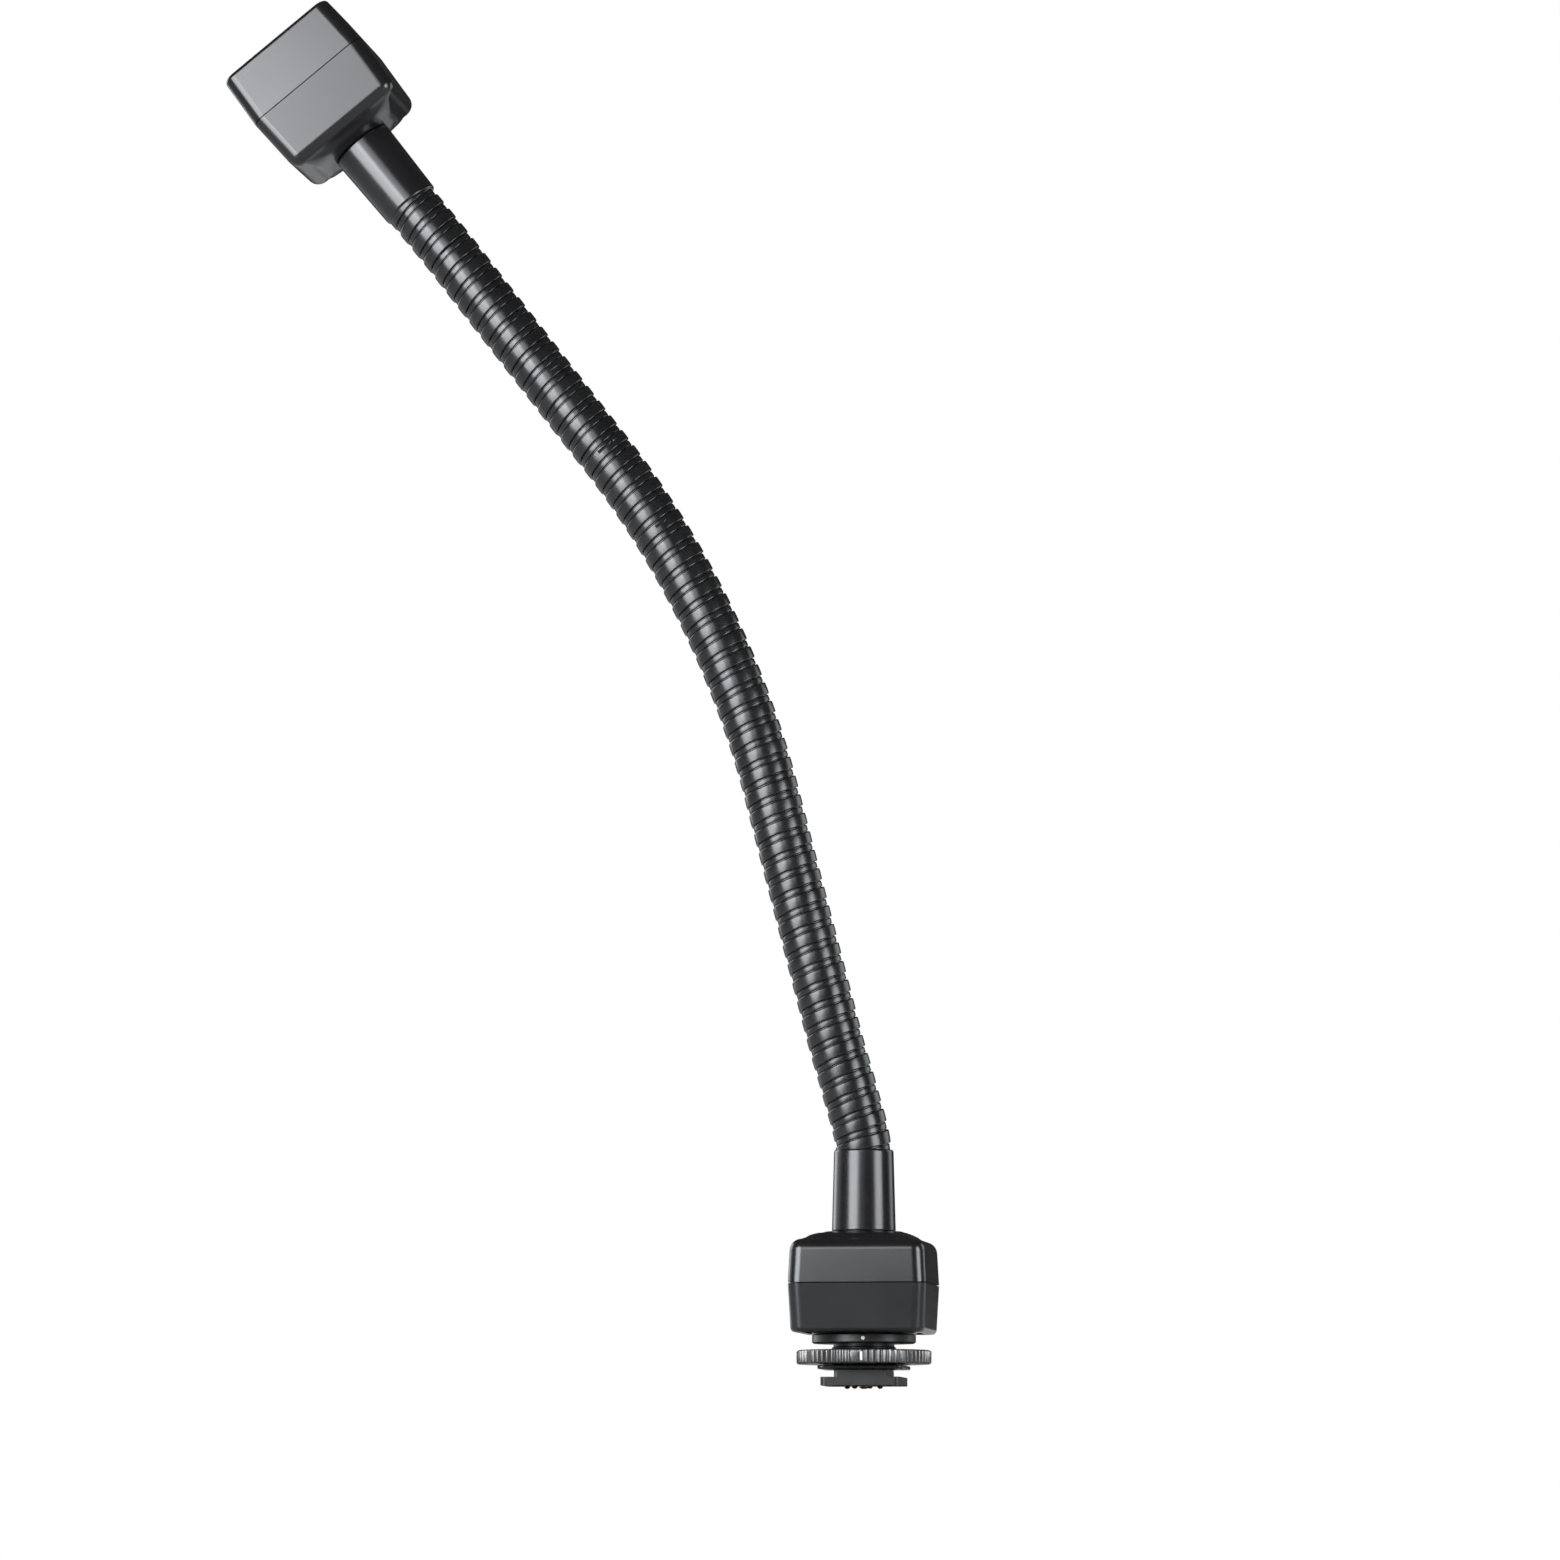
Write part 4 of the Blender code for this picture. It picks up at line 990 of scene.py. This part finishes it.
def shoe_rails(looks):
    """The folded sheet that holds a shoe: base, sides and lips, with a stop at the front."""
    half, lip = SLOT_HALF, LIP_UNDER + RAIL_SHEET
    section = [
        (-half - RAIL_SHEET, RAIL_BASE),
        (half + RAIL_SHEET, RAIL_BASE),
        (half + RAIL_SHEET, lip),
        (OPENING_HALF, lip),
        (OPENING_HALF, LIP_UNDER),
        (half, LIP_UNDER),
        (half, SLOT_FLOOR),
        (-half, SLOT_FLOOR),
        (-half, LIP_UNDER),
        (-OPENING_HALF, LIP_UNDER),
        (-OPENING_HALF, lip),
        (-half - RAIL_SHEET, lip),
    ]
    front = -SLOT_LENGTH / 2
    rails = drawn("rails", [[(x, front, z) for x, z in section]])
    open_mesh(rails)
    bpy.ops.mesh.select_all(action="SELECT")
    bpy.ops.mesh.edge_face_add()
    bpy.ops.mesh.extrude_region_move(TRANSFORM_OT_translate={"value": (0, SLOT_LENGTH, 0)})
    weld()

    def bend(reach, heights):
        return lambda edge: (
            abs(edge.verts[0].co.y - edge.verts[1].co.y) > MM
            and all(
                abs(abs(v.co.x) - reach) < SMALL
                and any(abs(v.co.z - height) < SMALL for height in heights)
                for v in edge.verts
            )
        )

    pick("EDGE", bend(half + RAIL_SHEET, (RAIL_BASE, lip)))
    bpy.ops.mesh.bevel(offset=0.95 * MM, segments=5, affect="EDGES")
    pick("EDGE", bend(half, (SLOT_FLOOR, LIP_UNDER)))
    bpy.ops.mesh.bevel(offset=0.25 * MM, segments=3, affect="EDGES")
    close_mesh()
    stop_front = front + 0.2 * MM
    stop = box(
        "stop",
        (-half - 0.3 * MM, stop_front, RAIL_BASE + 0.5 * MM),
        (half + 0.3 * MM, stop_front + 0.8 * MM, LIP_UNDER + 0.5 * MM),
    )
    cut(rails, stop, operation="UNION")
    window = 5.6 * MM
    cut(
        rails,
        box("window", (-window, -window, RAIL_BASE - OVERRUN), (window, window, SLOT_FLOOR + OVERRUN)),
        *(rod("screw_hole", 1.3 * MM, RAIL_BASE - OVERRUN, SLOT_FLOOR + 0.5 * MM, place)
          for place in rail_screw_places()),
    )
    ease(rails, 0.1 * MM, 2)
    return fit(rails, UPPER_UNIT, "head", "bright", looks["bright"], "shoe_rails")


def shoe_spring(looks):
    """The bowed leaf spring in the rails: two arms and the bar that joins them."""
    outer = SLOT_HALF - 0.3 * MM
    front = -SLOT_LENGTH / 2 + 1.3 * MM
    back = SLOT_LENGTH / 2 - 0.3 * MM
    low = SLOT_FLOOR + 0.2 * MM
    high = low + 0.3 * MM
    inner = outer - 0.8 * MM
    outline = [(-outer, front), (outer, front), (outer, back), (inner, back)]
    outline += [(inner, front + 0.8 * MM), (-inner, front + 0.8 * MM), (-inner, back), (-outer, back)]
    spring = drawn("leaf_spring", [[(x, y, low) for x, y in outline]])
    open_mesh(spring)
    bpy.ops.mesh.select_all(action="SELECT")
    bpy.ops.mesh.edge_face_add()
    bpy.ops.mesh.extrude_region_move(TRANSFORM_OT_translate={"value": (0, 0, high - low)})
    cuts = 20
    for number in range(1, cuts):
        bpy.ops.mesh.select_all(action="SELECT")
        y = front + (back - front) * number / cuts
        bpy.ops.mesh.bisect(plane_co=(0, y, 0), plane_no=(0, 1, 0))
    weld()
    close_mesh()
    for vert in spring.data.vertices:
        share = (vert.co.y - front) / (back - front)
        vert.co.z += 0.5 * MM * math.sin(TURN / 2 * share)
    ease(spring, 0.05 * MM, 1)
    return fit(spring, UPPER_UNIT, "head", "bright", looks["bright"], "shoe_spring")


def rail_screws(looks):
    top = SLOT_FLOOR
    tip = top - 3.6 * MM
    profile = (
        (0, tip),
        (0.35 * MM, tip),
        (0.7 * MM, tip + 0.7 * MM),
        (0.7 * MM, top - 0.3 * MM),
        (1.1 * MM, top - 0.15 * MM),
        (1.08 * MM, top - 0.02 * MM),
        (0, top + 0.02 * MM),
    )
    screw = turned("rail_fixing_1", profile, 32, closed=False)
    for x, y in ((0.65, 0.14), (0.14, 0.65)):
        cut(screw, box("recess", (-x * MM, -y * MM, top - 0.3 * MM), (x * MM, y * MM, top + MM)))
    places = rail_screw_places()
    screws = [screw] + [copy_of(screw, f"rail_fixing_{n}") for n in range(2, len(places) + 1)]
    for number, (piece, place) in enumerate(zip(screws, places), 1):
        move(piece, (*place, 0))
        fit(piece, UPPER_UNIT, "head", "steel", looks["steel"], f"rail_screw_{number}")


def contact_pad(looks):
    """The insulating block in the window of the rails, and its flat contacts."""
    low, top, half = RAIL_BASE, RAIL_BASE + MM, 5.4 * MM
    pad = rounded_plate("contact_pad", half, half, low, top, 0.6 * MM, 4)
    cut(pad, rod("stub", 4.9 * MM, ROOF - OVERRUN, low + 0.5 * MM, sides=48), operation="UNION")
    for number, place in enumerate(contact_places()):
        head = (1.7 if number == 0 else 1.1) * MM
        cut(
            pad,
            rod("shank_hole", 0.6 * MM, ROOF - 3 * MM, top - 0.2 * MM, place, 24),
            rod("head_seat", head, top - 0.7 * MM, top + OVERRUN, place),
        )
    ease(pad, 0.12 * MM, 2)
    fit(pad, UPPER_UNIT, "head", "foot", looks["foot"], "contact_block")
    for number, place in enumerate(contact_places()):
        head = (1.5 if number == 0 else 0.9) * MM
        profile = (
            (0, 16.0 * MM + 4.9 * MM),
            (0.4 * MM, 16.0 * MM + 4.9 * MM),
            (0.4 * MM, top - 0.5 * MM),
            (head, top - 0.5 * MM),
            (head, top - 0.12 * MM),
            (head - 0.1 * MM, top - 0.02 * MM),
            (head * 0.5, top + 0.02 * MM),
            (0, top + 0.03 * MM),
        )
        contact = turned(f"socket_pad_{number + 1}", profile, 32, closed=False)
        move(contact, (*place, 0))
        node = f"socket_contact_{number + 1}"
        fit(contact, UPPER_UNIT, "head", "brass", looks["brass"], node)


# Studio


def studio():
    """The camera, a wide soft box at the left, a low one at the right and the pale floor."""
    bpy.ops.object.select_all(action="DESELECT")
    bpy.ops.object.camera_add(location=EYE, rotation=(AIM - EYE).to_track_quat("-Z", "Y").to_euler())
    camera = bpy.context.active_object
    camera.data.lens, camera.data.sensor_width = LENS, SENSOR
    camera.data.clip_start, camera.data.clip_end = 0.05, 50.0
    bpy.context.scene.camera = camera

    aim = Vector((-0.02, 0, 0.15))
    for name, azimuth, distance, height, width, tall, radiance in (
        ("key_box", -11.0, 1.2, 0.475, 0.74, 0.47, 3.5),
        ("key_wing", -35.0, 0.9, 0.290, 0.60, 0.58, 9.5),
        ("side_box", 61.0, 1.1, 0.270, 0.58, 0.52, 7.5),
        ("rear_left_box", -128.0, 1.4, 0.450, 0.80, 0.80, 2.4),
        ("rear_right_box", 130.0, 1.4, 0.450, 0.80, 0.80, 1.6),
        ("rear_top_box", 180.0, 0.9, 1.050, 1.30, 1.00, 9.0),
    ):
        a = azimuth * DEGREE
        place = Vector((math.sin(a) * distance, -math.cos(a) * distance, height))
        level = height if height < 1.0 else -2.0
        turn = (Vector((aim.x, aim.y, level)) - place).to_track_quat("-Z", "Z").to_euler()
        bpy.ops.object.light_add(type="AREA", location=place, rotation=turn)
        lamp = bpy.context.active_object
        lamp.name = name
        lamp.data.shape = "RECTANGLE"
        lamp.data.size, lamp.data.size_y = width, tall
        lamp.data.energy = radiance * math.pi * width * tall
        lamp.data.color = (0.95, 0.97, 1.0)
        lamp.visible_camera = False
        lamp.visible_glossy = name != "rear_top_box"

    bpy.ops.mesh.primitive_plane_add(size=6.0, location=(0, 0, -0.8 * MM))
    floor = bpy.context.active_object
    floor.name = "floor"
    floor.data.materials.append(pale_floor())
    backdrop()


def light_path(nodes, *names):
    """One value that is 1 for any of the named kinds of ray."""
    paths = nodes.new("ShaderNodeLightPath")
    value = paths.outputs[names[0]]
    links = nodes.id_data.links
    for name in names[1:]:
        both = nodes.new("ShaderNodeMath")
        both.operation = "MAXIMUM"
        links.new(value, both.inputs[0])
        links.new(paths.outputs[name], both.inputs[1])
        value = both.outputs["Value"]
    return value


def pale_floor():
    """A pale floor that is white to the camera, keeps the shadow and isn't there from below."""
    made = bpy.data.materials.new("pale_floor")
    made.use_nodes = True
    nodes, links = made.node_tree.nodes, made.node_tree.links
    paint = nodes["Principled BSDF"]
    paint.inputs["Base Color"].default_value = (0.30, 0.30, 0.298, 1)
    paint.inputs["Roughness"].default_value = 0.9
    paint.inputs["Specular IOR Level"].default_value = 0.0
    glow = nodes.new("ShaderNodeEmission")
    strength = nodes.new("ShaderNodeMath")
    strength.operation = "MULTIPLY"
    strength.inputs[1].default_value = 0.82
    links.new(light_path(nodes, "Is Camera Ray"), strength.inputs[0])
    links.new(strength.outputs["Value"], glow.inputs["Strength"])
    both = nodes.new("ShaderNodeAddShader")
    links.new(paint.outputs["BSDF"], both.inputs[0])
    links.new(glow.outputs["Emission"], both.inputs[1])
    below = nodes.new("ShaderNodeNewGeometry")
    clear = nodes.new("ShaderNodeBsdfTransparent")
    sides = nodes.new("ShaderNodeMixShader")
    links.new(below.outputs["Backfacing"], sides.inputs["Fac"])
    links.new(both.outputs["Shader"], sides.inputs[1])
    links.new(clear.outputs["BSDF"], sides.inputs[2])
    links.new(sides.outputs["Shader"], nodes["Material Output"].inputs["Surface"])
    return made


def backdrop():
    """White to the camera, and a soft dim room to everything else."""
    world = bpy.data.worlds.new("studio_room")
    bpy.context.scene.world = world
    world.use_nodes = True
    nodes, links = world.node_tree.nodes, world.node_tree.links
    room = nodes["Background"]
    where = nodes.new("ShaderNodeTexCoord")
    toward = nodes.new("ShaderNodeVectorMath")
    toward.operation = "DOT_PRODUCT"
    toward.inputs[1].default_value = (-0.88, 0.47, 0.05)
    links.new(where.outputs["Generated"], toward.inputs[0])
    wall = nodes.new("ShaderNodeMapRange")
    wall.interpolation_type = "SMOOTHSTEP"
    for name, value in (("From Min", 0.82), ("From Max", 0.97), ("To Min", 0.03), ("To Max", 0.8)):
        wall.inputs[name].default_value = value
    links.new(toward.outputs["Value"], wall.inputs["Value"])
    links.new(wall.outputs["Result"], room.inputs["Strength"])
    room.inputs["Color"].default_value = (1, 1, 1, 1)
    white = nodes.new("ShaderNodeBackground")
    white.inputs["Color"].default_value = (1, 1, 1, 1)
    white.inputs["Strength"].default_value = 1.0
    mix = nodes.new("ShaderNodeMixShader")
    seen = light_path(nodes, "Is Camera Ray", "Is Transmission Ray")
    links.new(seen, mix.inputs["Fac"])
    links.new(room.outputs["Background"], mix.inputs[1])
    links.new(white.outputs["Background"], mix.inputs[2])
    links.new(mix.outputs["Shader"], nodes["World Output"].inputs["Surface"])


def dress_kept_nodes(looks):
    """Gives the parts that stay as they are their finishes."""
    for node, look in (
        ("stem_nut", "steel"),
        ("contact_carrier", "foot"),
        ("lower_circuit_board", "board"),
        ("upper_circuit_board", "board"),
        ("lower_ferrule_nut", "steel"),
        ("upper_ferrule_nut", "steel"),
    ):
        for slot in frame["nodes"][node].material_slots:
            slot.material = looks[look]


def main():
    bpy.context.scene.view_settings.view_transform = "Standard"
    studio()
    looks = looks_of_the_bracket()
    lower_floor = LOWER_HEIGHT - HOUSING_WALL
    cover = housing("lower", LOWER_UNIT, "base", LOWER_PARTING, LOWER_HEIGHT, lower_floor, True, looks)
    cut(cover, rod("stem_hole", 7.8 * MM, lower_floor - OVERRUN, LOWER_HEIGHT + OVERRUN, sides=64))
    ease(cover, 0.12 * MM)
    fit(cover, LOWER_UNIT, "base", "shell", looks["shell"], "lower_cover_shell")
    cover = housing("upper", UPPER_UNIT, "head", UPPER_PARTING, UPPER_HEIGHT, ROOF, False, looks)
    pocket_of(cover)
    ease(cover, 0.12 * MM)
    fit(cover, UPPER_UNIT, "head", "shell", looks["shell"], "upper_cover_shell")
    shoe_foot(looks)
    clamp_washer(looks)
    locking_ring(looks)
    painted_highlight_spots(looks)
    foot_contacts(looks)
    arm(looks)
    shoe_rails(looks)
    shoe_spring(looks)
    rail_screws(looks)
    contact_pad(looks)
    dress_kept_nodes(looks)


main()
